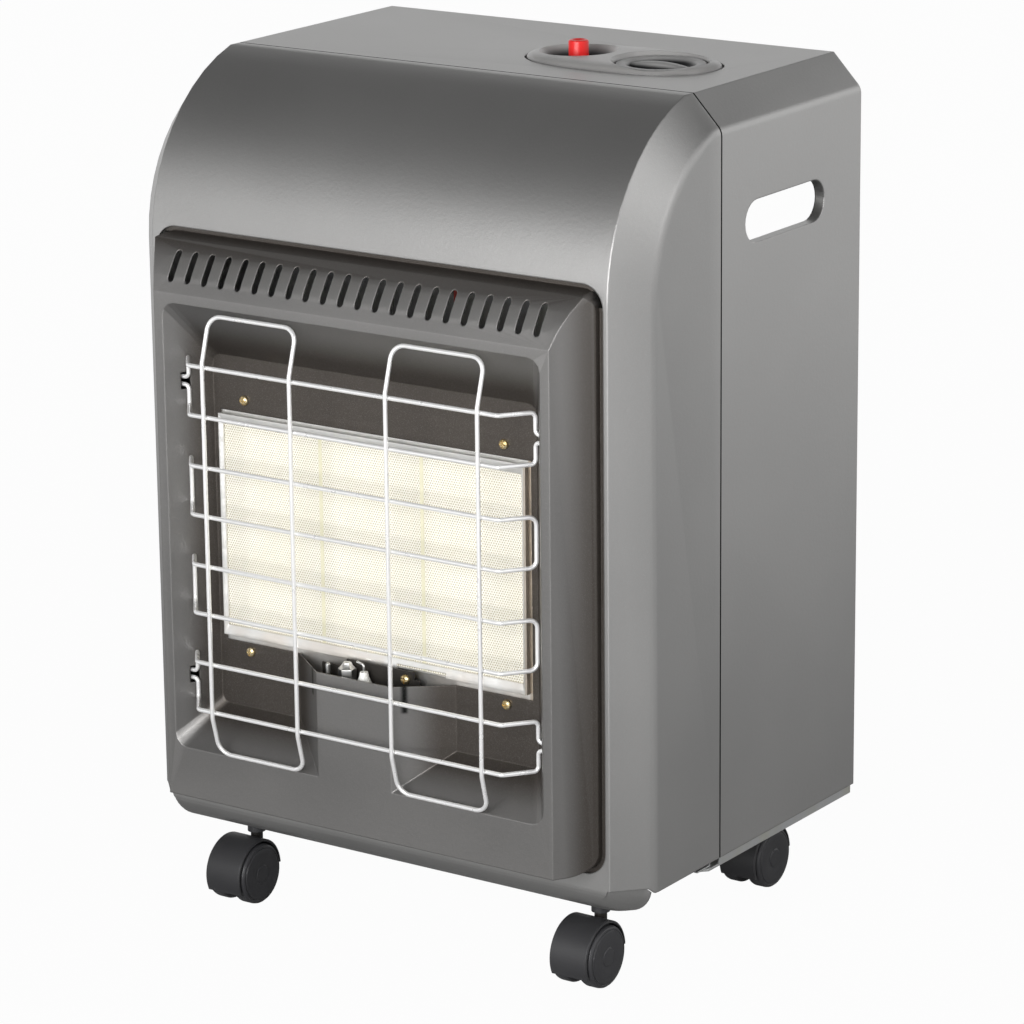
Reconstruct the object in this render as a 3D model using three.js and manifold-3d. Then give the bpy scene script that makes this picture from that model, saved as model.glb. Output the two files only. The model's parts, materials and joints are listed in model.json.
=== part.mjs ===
// Portable gas cabinet heater on four twin-wheel castors.
// Millimetres, +Z up, the burner faces -Y. Heights are measured from the floor, and depths
// from the flat front face of the cabinet, until the whole heater is centred at the end.
import * as THREE from "three";
import { mergeVertices } from "three/addons/utils/BufferGeometryUtils.js";
import Module from "manifold-3d";

const wasm = await Module();
wasm.setup();

// ---- driving dimensions -------------------------------------------------------------------

const fit = 0.3; // gap between two pieces that touch
const sheet = 1.2; // pressed steel of the cabinet
const panelSeam = 0.7; // joint line between the front panel and the cabinet shell

const cabinetWidth = 380;
const cabinetBottom = 73;
const cabinetTop = 552;
const cabinetRear = 259.2;
const seamDepth = 94.1; // rear edge of the front panel
const hoodCreaseDepth = 84.8; // where the curved hood meets the flat top
const hoodRadius = 118;
const chamferAcross = 20;
const chamferIn = 21;
const foldRadius = 8; // outer bend between a chamfer and a side wall
const joggleReach = 5; // lip of the shell that lies inside the front panel

const chinBottom = 58; // rolled lip below the front face
const chinRadius = 18;
const chinDepth = 21;
const chinInset = 3; // the lip stands in from the sides
const openingGap = 3; // shadow gap round the burner surround

const surroundHalfWidth = 164;
const surroundBottom = 88;
const surroundTop = 449;
const surroundProud = 28;
const surroundCorner = 12;
const flangeHold = 5; // how far the surround's rear flange reaches past its wall
const flangeTopStep = 1.7; // the hood leans back, so the top flange sits deeper
const flangeTopHold = 9;
const rimHalfWidth = 147.5; // flat face between the two side bevels
const bevelHalfWidth = 162;
const bevelProud = 6;
const bandBottom = 417; // vent band that leans back above the flat face
const bandCrease = 447;
const bandCreaseProud = 9;
const bandBow = 1.6;
const slotCount = 22;
const slotPitch = 13;
const slotWidth = 4.7;
const slotLow = 423.3;
const slotHigh = 441.3;

const recessProud = 3; // front side of the recessed back plate
const recessHalfWidth = 122;
const recessTop = 375.6;
const recessFloor = 147;
const mouthHalfWidth = 141;
const mouthTop = 411;
const mouthBottom = 121;
const recessCorner = 6;
const mouthCorner = 9;
const wellFrontHalf = 28; // pilot well between the two lower pockets
const wellBackHalf = 60;
const wellTop = 189.5;

const frameHalfWidth = 115.8;
const frameBottom = 194.2;
const frameTop = 338.7;
const frameProud = 7.4;
const frameClear = 1.5;
const frameLip = 1;
const frameBead = 1; // how far the outer edge stands in front of the window edge
const windowHalfWidth = 112.6;
const windowBottom = 200.8;
const windowTop = 332.2;
const frameFlange = 1.2;
const frameCorner = 1; // corner radius of the rolled lip
const flangeHalfWidth = 121;
const flangeMargin = 17;
const lipNotchLeft = 18.5;
const lipNotchRight = 55.5;

const plaqueCount = 3;
const plaqueThick = 13;
const plaqueJoint = 0.6;
const housingWall = 1;
const housingDepth = 40;
const housingLedge = 4; // shelf that the back of each plaque rests on
const venturiRadius = 8.5;
const venturiBore = 7;
const venturiDepth = 24;
const venturiBottom = 152;
const venturiPitch = 76;

const manifoldHeight = 130;
const manifoldSize = 12;
const manifoldHalf = 88;
const injectorRadius = 3.6;
const injectorTip = 158;

const screwHalfSpan = 98;
const screwUpper = 348;
const screwLower = 184;
const screwHeadRadius = 3.3;
const screwHeadHeight = 2;
const screwShank = 1.5;
const screwLength = 7;

const wire = 1.5; // radius of the guard's wire
const guardProud = 38;
const weldSink = 0.4;
const loopInner = 36;
const loopOuter = 103;
const loopTop = 407;
const loopBottom = 124;
const loopTopProud = 29.3;
const loopBottomProud = 31.5;
const loopBendHigh = 378;
const loopBendLow = 149;
const loopCorner = 9;
const hoopCount = 4;
const hoopFirst = 151.5; // lowest bar
const hoopHeight = 31.6;
const hoopPitch = 64;
const hoopBendX = 116;
const hoopEndProud = 17;
const hoopCorner = 5;
const hookGap = 5;
const hookReach = 6;
const hookSlotHigh = 11;
const hookSlotWide = 5;

const handSlotLength = 96;
const handSlotHeight = 29;
const handSlotDepth = 168.5;
// A Drop is measured down from the cabinet's top, a Rise up from it, an Inset in from its side.
const handSlotDrop = 82.6;
const handSlotLevel = cabinetTop - handSlotDrop;
const handSlotRoll = 7;

const panLevel = 67;
const panSheet = 1.5;
const panFrontInset = 30;
const panFrontHalf = cabinetWidth / 2 - panFrontInset;
const panFront = 10;
const panShoulder = 78;
const panFlange = 18;

const shieldDepth = 87;
const shieldDrop = 54;
const shieldTop = cabinetTop - shieldDrop;
const shieldFlange = 14;
const shieldSheet = 1;

const rearFlange = 15;
const railBottom = 400;
const railSize = 12;
const coverBottom = 74;
const coverGap = 0.8;
const coverHook = 9;
const coverSlotCount = 5;
const coverSlotLength = 110;
const coverSlotHeight = 6;
const coverSlotPitch = 24;

const bezelX = 76;
const bezelY = 163.5;
const bezelHalfLength = 67;
const bezelHalfWidth = 39;
const bezelPower = 2.35;
const bezelGap = 1.4;
const bezelRise = 4.2;
const bezelFlange = 4;
const bezelFlangeThick = 1.4;

const buttonX = 41;
const buttonY = 166;
const buttonRadius = 6.4;
const buttonRise = 10;
const buttonTop = cabinetTop + buttonRise;
const buttonBottomDrop = 9;
const buttonBottom = cabinetTop - buttonBottomDrop;
const buttonStem = 3;
const buttonStemDrop = 32;
const buttonStemEnd = cabinetTop - buttonStemDrop;
const dishRadius = 25;
const dishFloorRadius = 15;
const dishDrop = 4;
const dishFloor = cabinetTop - dishDrop;
const igniterRadius = 8;
const igniterDrop = 47;
const igniterBottom = cabinetTop - igniterDrop;

const knobX = 105;
const knobY = 161;
const knobRadius = 28.4;
const knobRise = 2;
const knobTop = cabinetTop + knobRise;
const knobUndersideDrop = 6;
const knobUnderside = cabinetTop - knobUndersideDrop;
const knobBowlRadius = 21.6;
const knobBowlDrop = 4;
const knobBowlFloor = cabinetTop - knobBowlDrop;
const knobBossRadius = 7.5;
const gripHalfWidth = 3.8;
const dialWallGap = 1;
const dialDrop = 11;
const dialFloor = cabinetTop - dialDrop;
const knobBossDip = 0.8;
const knobBossBottom = dialFloor - knobBossDip;
const dialWall = 1.3;

const bracketDrop = 21;
const bracketLevel = cabinetTop - bracketDrop;
const bracketSheet = 1.2;
const bracketLeft = -2;
const bracketRight = 154;
const bracketHalfDepth = 22;
const valveHalfWidth = 16;
const valveHalfDepth = 15;
const valveDrop = 60;
const valveBottom = cabinetTop - valveDrop;
const bushRadius = 7;
const bushDrop = 17;
const bushTop = cabinetTop - bushDrop;
const spindleRadius = 4;
const spindleDrop = 37.5;
const spindleBottom = cabinetTop - spindleDrop;
const spindleTopDrop = 5.5;
const spindleTop = cabinetTop - spindleTopDrop;
const plugRadius = 8;
const plugTopDrop = 44;
const plugTop = cabinetTop - plugTopDrop;
const plugBottomDrop = 57;
const plugBottom = cabinetTop - plugBottomDrop;
const tongueThick = 2;
const tongueReach = 3.2; // half length of the flat that turns the plug
const tongueDrop = 48;
const tongueBottom = cabinetTop - tongueDrop;
const knobTravel = 4;

const mainPipe = 3;
const mainPipeDrop = 46;
const mainPipeLevel = cabinetTop - mainPipeDrop;
const mainPipeDepth = 78;
const pilotPipe = 2;
const pilotPipeDrop = 38;
const pilotPipeLevel = cabinetTop - pilotPipeDrop;
const pilotPipeDepth = 70;
const pilotX = -12;
const pilotY = -17.2;
const pilotTop = 196;
const pilotBottom = 166;
const pilotRun = 158;
const coupleX = -27;
const coupleTip = 193;
const coupleRadius = 1.6;
const coupleLead = 1.1;
const coupleRun = 150;
const coupleDepth = 58;
const coupleDrop = 29;
const coupleLevel = cabinetTop - coupleDrop;
const coupleValveX = 117;
const sparkX = 0.5;
const sparkY = -16.8;
const sparkBottom = 170;
const sparkRadius = 0.8;
const insulatorTop = 191.6;
const insulatorBottom = 176;
const leadRadius = 1.5;
const leadX = 17;
const leadDepth = 64;
const leadDrop = 43;
const leadLevel = cabinetTop - leadDrop;
const leadRun = 161;
const plateProud = 11; // upright plate of the pilot bracket
const plateBottom = 173;
const plateTop = 195.6;
const plateLeft = -36;
const plateRight = 38;
const plateX = [-17, 34]; // the taller middle of the upright plate
const plateStep = 5;
const pilotNeck = 3.6;
const insulatorNeck = 2.6;
const insulatorFoot = 5.2;
const pilotScrewX = 28;
const pilotScrewZ = 190;
const shelfProud = 24;
const shelfLeft = -30.5;
const shelfRight = 20;

const castorFrontInset = 55.5;
const castorFrontX = cabinetWidth / 2 - castorFrontInset;
const castorFrontY = 44;
const castorRearInset = 60;
const castorRearX = cabinetWidth / 2 - castorRearInset;
const castorRearStep = 9.2;
const castorRearY = cabinetRear - castorRearStep;
const castorTrail = 15; // the axle lies this far in front of the swivel
const wheelRadius = 20;
const wheelSides = 24;
const wheelInnerFace = 4.6;
const wheelOuterFace = 16;
const axleRadius = 2.5;
const axleHalf = 12.6;
const hoodClear = 1.2;
const hoodWall = 1.6;
const hoodHalfWidth = 13.6;
const hoodWeb = 3.6;
const hoodFrontAngle = 205; // degrees, measured from the rear over the top
const hoodRearAngle = 4;
const stemBoss = 6;
const stemRadius = 4;
const stemBottom = 33;
const stemFlange = 7;
const stemFlangeThick = 4;
const stemNut = 5.8;
const stemNutThick = 5;
const stemTop = 80;

// ---- solids from three.js geometry ----------------------------------------------------------

const TURN = Math.PI * 2;
const far = 30; // how far a cutting tool runs past what it cuts

function solid(geometry) {
  const bare = geometry.clone();
  bare.deleteAttribute("normal");
  bare.deleteAttribute("uv");
  const merged = mergeVertices(bare, 1e-4);
  const corners = new Uint32Array(merged.index.array);
  if (signedVolume(merged) < 0) corners.reverse();
  const mesh = new wasm.Mesh({
    numProp: 3,
    vertProperties: new Float32Array(merged.attributes.position.array),
    triVerts: corners,
  });
  return new wasm.Manifold(mesh);
}

// Negative when the faces look inwards.
function signedVolume(geometry) {
  const [a, b, c] = [new THREE.Vector3(), new THREE.Vector3(), new THREE.Vector3()];
  const { index, attributes } = geometry;
  let volume = 0;
  for (let k = 0; k < index.count; k += 3) {
    a.fromBufferAttribute(attributes.position, index.getX(k));
    b.fromBufferAttribute(attributes.position, index.getX(k + 1));
    c.fromBufferAttribute(attributes.position, index.getX(k + 2));
    volume += a.dot(b.cross(c)) / 6;
  }
  return volume;
}

function union(parts) {
  return parts.reduce((whole, part) => whole.add(part));
}

function cut(body, tools) {
  return tools.reduce((left, tool) => left.subtract(tool), body);
}

function block(x, y, z) {
  const box = new THREE.BoxGeometry(x[1] - x[0], y[1] - y[0], z[1] - z[0]);
  box.translate((x[0] + x[1]) / 2, (y[0] + y[1]) / 2, (z[0] + z[1]) / 2);
  return solid(box);
}

// A shape drawn in the two other axes, in their order x, y, z, and drawn out along one axis.
function extruded(shape, axis, from, to, curveSegments = 6) {
  const body = new THREE.ExtrudeGeometry(shape, {
    depth: to - from,
    bevelEnabled: false,
    curveSegments,
  });
  if (axis === "x") {
    body.translate(0, 0, from);
    const turned = new THREE.Matrix4().set(0, 0, 1, 0, 1, 0, 0, 0, 0, 1, 0, 0, 0, 0, 0, 1);
    body.applyMatrix4(turned);
  } else if (axis === "y") {
    body.translate(0, 0, -to);
    body.rotateX(Math.PI / 2);
  } else {
    body.translate(0, 0, from);
  }
  return solid(body);
}

function outline(points) {
  return new THREE.Shape(points.map(([a, b]) => new THREE.Vector2(a, b)));
}

function roundedRectangle(left, right, low, high, radius) {
  const shape = new THREE.Shape();
  shape.absarc(right - radius, low + radius, radius, -Math.PI / 2, 0);
  shape.absarc(right - radius, high - radius, radius, 0, Math.PI / 2);
  shape.absarc(left + radius, high - radius, radius, Math.PI / 2, Math.PI);
  shape.absarc(left + radius, low + radius, radius, Math.PI, Math.PI * 1.5);
  shape.closePath();
  return shape;
}

// Corner points of a rounded rectangle, the same number for any size, for lofts.
function roundedLoop(left, right, low, high, radius, perCorner = 3) {
  const loop = [];
  const corners = [
    [right - radius, low + radius, -90],
    [right - radius, high - radius, 0],
    [left + radius, high - radius, 90],
    [left + radius, low + radius, 180],
  ];
  for (const [a, b, start] of corners) {
    for (let step = 0; step <= perCorner; step += 1) {
      const angle = THREE.MathUtils.degToRad(start + (90 * step) / perCorner);
      loop.push([a + radius * Math.cos(angle), b + radius * Math.sin(angle)]);
    }
  }
  return loop;
}

// A closed body through loops of equal length; each loop is a list of Vector3.
function loft(loops) {
  const count = loops[0].length;
  const positions = loops.flat().flatMap((point) => point.toArray());
  const index = [];
  for (let ring = 0; ring + 1 < loops.length; ring += 1) {
    for (let k = 0; k < count; k += 1) {
      const a = ring * count + k;
      const b = ring * count + ((k + 1) % count);
      index.push(a, b, b + count, a, b + count, a + count);
    }
  }
  addCap(index, loops[0], 0, true);
  addCap(index, loops[loops.length - 1], (loops.length - 1) * count, false);
  const geometry = new THREE.BufferGeometry();
  geometry.setAttribute("position", new THREE.Float32BufferAttribute(positions, 3));
  geometry.setIndex(index);
  return solid(geometry);
}

function addCap(index, loop, first, reversed) {
  const normal = loopNormal(loop);
  const across = new THREE.Vector3().subVectors(loop[1], loop[0]).normalize();
  const up = new THREE.Vector3().crossVectors(normal, across);
  const flat = loop.map((point) => new THREE.Vector2(point.dot(across), point.dot(up)));
  for (const [a, b, c] of THREE.ShapeUtils.triangulateShape(flat, [])) {
    if (reversed) index.push(first + a, first + c, first + b);
    else index.push(first + a, first + b, first + c);
  }
}

function loopNormal(loop) {
  const normal = new THREE.Vector3();
  loop.forEach((point, k) => {
    const next = loop[(k + 1) % loop.length];
    normal.add(new THREE.Vector3().crossVectors(point, next));
  });
  return normal.normalize();
}

// A profile of [radius, height] turned about a standing axis through (x, y).
function turned(profile, x, y, segments = 24) {
  const points = profile.map(([radius, height]) => new THREE.Vector2(radius, height));
  const body = new THREE.LatheGeometry(points, segments);
  body.rotateX(Math.PI / 2);
  body.translate(x, y, 0);
  return solid(body);
}

function post(radius, x, y, low, high, segments = 20) {
  const body = new THREE.CylinderGeometry(radius, radius, high - low, segments);
  body.rotateX(Math.PI / 2);
  body.translate(x, y, (low + high) / 2);
  return solid(body);
}

// A route with each inner corner replaced by an arc, and a point list to sweep along.
function bentRoute(corners, radius, closed = false, perBend = 3) {
  const points = corners.map((corner) => new THREE.Vector3(...corner));
  const route = [];
  points.forEach((corner, k) => {
    const before = points[(k - 1 + points.length) % points.length];
    const after = points[(k + 1) % points.length];
    if (!closed && (k === 0 || k === points.length - 1)) {
      route.push(corner);
      return;
    }
    route.push(...bendArc(before, corner, after, radius, perBend));
  });
  return route;
}

function bendArc(before, corner, after, radius, perBend) {
  const inward = new THREE.Vector3().subVectors(before, corner).normalize();
  const outward = new THREE.Vector3().subVectors(after, corner).normalize();
  const half = inward.angleTo(outward) / 2;
  const reach = radius / Math.tan(half);
  const start = corner.clone().addScaledVector(inward, reach);
  const end = corner.clone().addScaledVector(outward, reach);
  const middle = new THREE.Vector3().addVectors(inward, outward).normalize();
  const centre = corner.clone().addScaledVector(middle, radius / Math.sin(half));
  const from = new THREE.Vector3().subVectors(start, centre);
  const sweep = Math.PI - 2 * half;
  const axis = new THREE.Vector3().crossVectors(inward, outward).negate().normalize();
  const arc = [];
  for (let step = 0; step <= perBend; step += 1) {
    if (step === perBend) arc.push(end);
    else arc.push(from.clone().applyAxisAngle(axis, (sweep * step) / perBend).add(centre));
  }
  arc[0] = start;
  return arc;
}

// A round bar swept along a point list, carried without twist; sections are mitred.
function bar(route, radius, sides = 8, closed = false) {
  const count = route.length;
  const along = route.map((point, k) => {
    const before = closed ? route[(k - 1 + count) % count] : route[Math.max(k - 1, 0)];
    const after = closed ? route[(k + 1) % count] : route[Math.min(k + 1, count - 1)];
    const into = new THREE.Vector3().subVectors(point, before).normalize();
    const out = new THREE.Vector3().subVectors(after, point).normalize();
    return { into, out, mean: new THREE.Vector3().addVectors(into, out).normalize() };
  });
  let side = perpendicularTo(along[0].mean);
  const rings = route.map((point, k) => {
    const { into, out, mean } = along[k];
    side.addScaledVector(mean, -side.dot(mean)).normalize();
    const other = new THREE.Vector3().crossVectors(mean, side);
    const stretch = 1 / Math.max(Math.cos(into.angleTo(out) / 2), 0.5);
    const mitre = new THREE.Vector3().subVectors(out, into);
    const bends = mitre.lengthSq() > 1e-9;
    mitre.addScaledVector(mean, -mitre.dot(mean)).normalize();
    const ring = [];
    for (let k2 = 0; k2 < sides; k2 += 1) {
      const angle = (TURN * (k2 + 0.5)) / sides;
      const spoke = side.clone().multiplyScalar(radius * Math.cos(angle));
      spoke.addScaledVector(other, radius * Math.sin(angle));
      if (bends) spoke.addScaledVector(mitre, spoke.dot(mitre) * (stretch - 1));
      ring.push(spoke.add(point));
    }
    return ring;
  });
  return closed ? closedRing(rings) : loft(rings);
}

function perpendicularTo(direction) {
  const helper = Math.abs(direction.z) < 0.7 ? new THREE.Vector3(0, 0, 1) : new THREE.Vector3(1, 0, 0);
  return new THREE.Vector3().crossVectors(direction, helper).normalize();
}

// The rings of a bar whose end meets its start. The last ring joins the nearest turn of the first.
function closedRing(rings) {
  const count = rings[0].length;
  const last = rings[rings.length - 1];
  let shift = 0;
  let best = Infinity;
  for (let k = 0; k < count; k += 1) {
    const gap = last[0].distanceTo(rings[0][k]);
    if (gap < best) {
      best = gap;
      shift = k;
    }
  }
  const positions = rings.flat().flatMap((point) => point.toArray());
  const index = [];
  for (let ring = 0; ring < rings.length; ring += 1) {
    const closing = ring === rings.length - 1;
    const next = closing ? 0 : (ring + 1) * count;
    const turn = closing ? shift : 0;
    for (let k = 0; k < count; k += 1) {
      const a = ring * count + k;
      const b = ring * count + ((k + 1) % count);
      const c = next + ((k + turn) % count);
      const d = next + ((k + 1 + turn) % count);
      index.push(a, b, d, a, d, c);
    }
  }
  const geometry = new THREE.BufferGeometry();
  geometry.setAttribute("position", new THREE.Float32BufferAttribute(positions, 3));
  geometry.setIndex(index);
  return solid(geometry);
}

// ---- materials ------------------------------------------------------------------------------

function finish(color, roughness, metalness) {
  return new THREE.MeshStandardMaterial({ color, roughness, metalness });
}

const powderCoat = finish(0x6d6c6a, 0.5, 0.35);
const surroundCoat = finish(0x5a5857, 0.5, 0.35);
const platedSteel = finish(0xb9bcbe, 0.35, 0.9);
const brightWire = finish(0xe3e4e6, 0.2, 1);
const ceramicPlaque = finish(0xf1ead6, 0.9, 0);
const whiteCeramic = finish(0xf6f5f1, 0.4, 0);
const brass = finish(0xc9a04a, 0.3, 0.9);
const greyPlastic = finish(0x8b8b8c, 0.45, 0.1);
const blackPlastic = finish(0x232326, 0.45, 0);
const redPlastic = finish(0xdf1a12, 0.3, 0);
const softLead = finish(0x9a2a22, 0.6, 0);

const heater = new THREE.Group();

function place(name, body, material, group = heater) {
  const mesh = body.getMesh();
  const geometry = new THREE.BufferGeometry();
  geometry.setAttribute("position", new THREE.BufferAttribute(mesh.vertProperties, 3));
  geometry.setIndex(new THREE.BufferAttribute(mesh.triVerts, 1));
  const piece = new THREE.Mesh(geometry, material);
  piece.name = name;
  group.add(piece);
  return piece;
}

// ---- cabinet ----------------------------------------------------------------------------------

const halfWidth = cabinetWidth / 2;
const hoodRise = Math.sqrt(hoodRadius ** 2 - (hoodRadius - hoodCreaseDepth) ** 2);
const hoodStart = cabinetTop - hoodRise;
const chamferTurn = Math.atan2(chamferAcross, chamferIn); // bend from the chamfer to the side

// The fold seen along its edge: points [distance from the side, depth in from the face], from
// the inner crease of the chamfer round to the side wall; skin draws it in by the sheet.
function fold(skin) {
  const slope = Math.atan2(chamferIn, chamferAcross);
  const crease = chamferAcross + skin * Math.tan(slope / 2);
  const radius = foldRadius - skin;
  const reach = foldRadius * Math.tan(chamferTurn / 2);
  const points = [[crease, skin]];
  const steps = 3;
  for (let step = 0; step <= steps; step += 1) {
    const turn = slope + (chamferTurn * step) / steps;
    points.push([
      foldRadius - radius * Math.sin(turn),
      chamferIn + reach - radius * Math.cos(turn),
    ]);
  }
  return points;
}

// Side view of the hooded front, drawn in by an inset from the outer skin.
function hoodSide(inset, low, back) {
  const radius = hoodRadius - inset;
  const top = cabinetTop - inset;
  const start = Math.PI - Math.asin((top - hoodStart) / radius);
  const points = [[back, top]];
  const steps = 10;
  for (let step = 0; step <= steps; step += 1) {
    const angle = start + ((Math.PI - start) * step) / steps;
    points.push([hoodRadius + radius * Math.cos(angle), hoodStart + radius * Math.sin(angle)]);
  }
  points.push([inset, low], [back, low]);
  return points;
}

function hoodBody(skin, low, back) {
  const right = fold(skin).map(([across, inset]) => [halfWidth - across, inset]);
  const left = right.map(([x, inset]) => [-x, inset]).reverse();
  const stations = [...left, ...right];
  return loft(stations.map(([x, inset]) => hoodSide(inset, low, back)
    .map(([y, z]) => new THREE.Vector3(x, y, z))));
}

// Half the panel's width at a depth behind the front face.
function halfAt(depth) {
  return Math.min(halfWidth, halfWidth - chamferAcross + (chamferAcross * depth) / chamferIn);
}

// What the rolled lip is cut from: front views whose round ends grow with the roll's depth.
function underChin(skin) {
  const radius = chinRadius - skin;
  const centreZ = chinBottom + chinRadius;
  const turns = [20, 30, 40, 50, 60, 70, 80, 90].map(THREE.MathUtils.degToRad);
  const ringAt = (turn, depth, ledge = centreZ) => {
    const drop = radius * Math.sin(turn);
    const half = halfAt(Math.max(depth, 0)) - chinInset - skin;
    const start = Math.asin((centreZ - ledge) / drop);
    const points = [];
    const steps = 8;
    for (let step = 0; step <= steps; step += 1) {
      const angle = start + ((Math.PI / 2 - start) * step) / steps;
      points.push([half - drop + drop * Math.cos(angle), centreZ - drop * Math.sin(angle)]);
    }
    const right = [[halfWidth + far, cabinetTop + far], [halfWidth + far, ledge], ...points];
    const left = right.map(([x, z]) => [-x, z]).reverse();
    return [...right, ...left].map(([x, z]) => new THREE.Vector3(x, depth, z));
  };
  const rings = turns.map((turn) => ringAt(turn, chinRadius - radius * Math.cos(turn)));
  const whole = turns[turns.length - 1];
  return loft([ringAt(turns[0], -far), ...rings, ringAt(whole, chinDepth, cabinetBottom),
    ringAt(whole, seamDepth + far, cabinetBottom)].reverse());
}

function chinRoll(skin) {
  const radius = chinRadius - skin;
  const shape = new THREE.Shape();
  shape.moveTo(skin - far, cabinetTop + far);
  shape.lineTo(skin - far, chinBottom + chinRadius);
  shape.lineTo(skin, chinBottom + chinRadius);
  shape.absarc(chinRadius, chinBottom + chinRadius, radius, Math.PI, Math.PI * 1.5);
  shape.lineTo(seamDepth + far, chinBottom + skin);
  shape.lineTo(seamDepth + far, cabinetTop + far);
  shape.closePath();
  return extruded(shape, "x", -halfWidth - far, halfWidth + far);
}

const openingHalf = surroundHalfWidth + openingGap;
const openingTop = surroundTop + openingGap;
const openingBottom = surroundBottom - openingGap;

function frontPanel() {
  const behind = block([-halfWidth - far, halfWidth + far], [chinDepth, seamDepth + far],
    [chinBottom - far, cabinetBottom]);
  const outer = hoodBody(0, chinBottom - far, seamDepth)
    .intersect(underChin(0)).intersect(chinRoll(0)).subtract(behind);
  const inner = hoodBody(sheet, chinBottom - far, seamDepth + far)
    .intersect(underChin(sheet)).intersect(chinRoll(sheet));
  const openUnder = block([-halfWidth + sheet, halfWidth - sheet],
    [chinDepth, seamDepth + far], [chinBottom - far, cabinetBottom + sheet]);
  const window = extruded(
    roundedRectangle(-openingHalf, openingHalf, openingBottom, openingTop,
      surroundCorner + openingGap),
    "y", -far, wallRear, 5);
  return cut(outer, [inner, openUnder, window]);
}

function shellSection(skin, low) {
  const right = fold(skin).map(([across, inset]) => [halfWidth - across, cabinetTop - inset]);
  const left = right.map(([x, z]) => [-x, z]).reverse();
  return outline([[-halfWidth + skin, low], ...left, ...right, [halfWidth - skin, low]]);
}

function stadium(length, height, y, z) {
  const radius = height / 2;
  const reach = length / 2 - radius;
  const shape = new THREE.Shape();
  shape.absarc(y + reach, z, radius, -Math.PI / 2, Math.PI / 2);
  shape.absarc(y - reach, z, radius, Math.PI / 2, Math.PI * 1.5);
  shape.closePath();
  return shape;
}

function bezelOutline(grow) {
  const points = [];
  const steps = 40;
  for (let step = 0; step < steps; step += 1) {
    const angle = (TURN * step) / steps;
    const across = Math.cos(angle);
    const along = Math.sin(angle);
    const power = 2 / bezelPower;
    points.push([
      bezelX + (bezelHalfLength + grow) * Math.sign(across) * Math.abs(across) ** power,
      bezelY + (bezelHalfWidth + grow) * Math.sign(along) * Math.abs(along) ** power,
    ]);
  }
  return points;
}

const shellFront = seamDepth + panelSeam;

function cabinetShell() {
  const outer = union([
    extruded(shellSection(0, cabinetBottom), "y", shellFront, cabinetRear),
    extruded(shellSection(sheet + fit, cabinetBottom), "y", seamDepth - joggleReach, shellFront + sheet),
  ]);
  const lining = extruded(shellSection(2 * sheet + fit, cabinetBottom - far), "y",
    shellFront - far, shellFront + sheet);
  const inner = extruded(shellSection(sheet, cabinetBottom - far), "y",
    shellFront + sheet, cabinetRear - sheet);
  const rearWindow = block([-halfWidth + rearFlange, halfWidth - rearFlange],
    [cabinetRear - far, cabinetRear + far], [cabinetBottom - far, cabinetTop - rearFlange]);
  const controlHole = extruded(outline(bezelOutline(0)), "z", cabinetTop - far, cabinetTop + far);
  const slotAt = (x0, x1, trim) => extruded(
    stadium(handSlotLength - 2 * trim, handSlotHeight - 2 * trim, handSlotDepth, handSlotLevel),
    "x", x0, x1, 6);
  const collars = [-1, 1].map((side) => {
    const edges = [side * halfWidth, side * (halfWidth - handSlotRoll)].sort((a, b) => a - b);
    return slotAt(edges[0], edges[1], 0);
  });
  const grips = slotAt(-halfWidth - far, halfWidth + far, sheet);
  const folded = cut(outer, [inner, lining]);
  return cut(union([folded, ...collars]), [rearWindow, controlHole, grips]);
}

function basePan() {
  const side = halfWidth - sheet - fit;
  const rear = cabinetRear - sheet - fit;
  const corner = panSheet * 4;
  const plan = outline([[-panFrontHalf, panFront], [panFrontHalf, panFront],
    [panFrontHalf, panShoulder], [side - corner, panShoulder], [side, panShoulder + corner],
    [side, rear], [-side, rear], [-side, panShoulder + corner],
    [-side + corner, panShoulder], [-panFrontHalf, panShoulder]]);
  const plate = extruded(plan, "z", panLevel, panLevel + panSheet);
  const flangeTop = panLevel + panFlange;
  const flangeFront = shellFront + sheet + fit;
  const sides = [-1, 1].map((hand) => {
    const edges = [hand * side, hand * (side - panSheet)].sort((a, b) => a - b);
    return block(edges, [flangeFront, rear], [panLevel, flangeTop]);
  });
  const back = block([-side, side], [rear - panSheet, rear], [panLevel, coverBottom + panFlange / 2]);
  const lip = block([-panFrontHalf, panFrontHalf], [chinRadius, chinRadius + panSheet],
    [chinBottom + sheet + fit, panLevel + panSheet]);
  const holes = castorPlaces().map(([, x, y]) => post(stemRadius + fit, x, y,
    panLevel - far, panLevel + far, 12));
  return cut(union([plate, ...sides, back, lip]), holes);
}

function heatShield() {
  const side = halfWidth - 2 * (sheet + fit);
  const low = panLevel + panSheet + fit;
  const face = block([-side, side], [shieldDepth, shieldDepth + shieldSheet], [low, shieldTop]);
  const foot = block([-side, side], [shieldDepth - shieldFlange, shieldDepth + shieldSheet],
    [low, low + shieldSheet]);
  const brow = block([-side, side], [shieldDepth - shieldFlange / 2, shieldDepth + shieldSheet],
    [shieldTop - shieldSheet, shieldTop]);
  const pipeGate = block(
    [coupleX - far, knobX + far],
    [shieldDepth - far, shieldDepth - fit],
    [shieldTop - far / 2, shieldTop + far]);
  return cut(union([face, foot, brow]), [pipeGate]);
}

function rearRail() {
  const side = halfWidth - sheet - fit;
  const rear = cabinetRear - sheet - fit;
  const outer = block([-side, side], [rear - railSize, rear], [railBottom, railBottom + railSize]);
  const hollow = block([-side - far, side + far], [rear - railSize + sheet, rear - sheet],
    [railBottom - far, railBottom + railSize - sheet]);
  return cut(outer, [hollow]);
}

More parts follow.
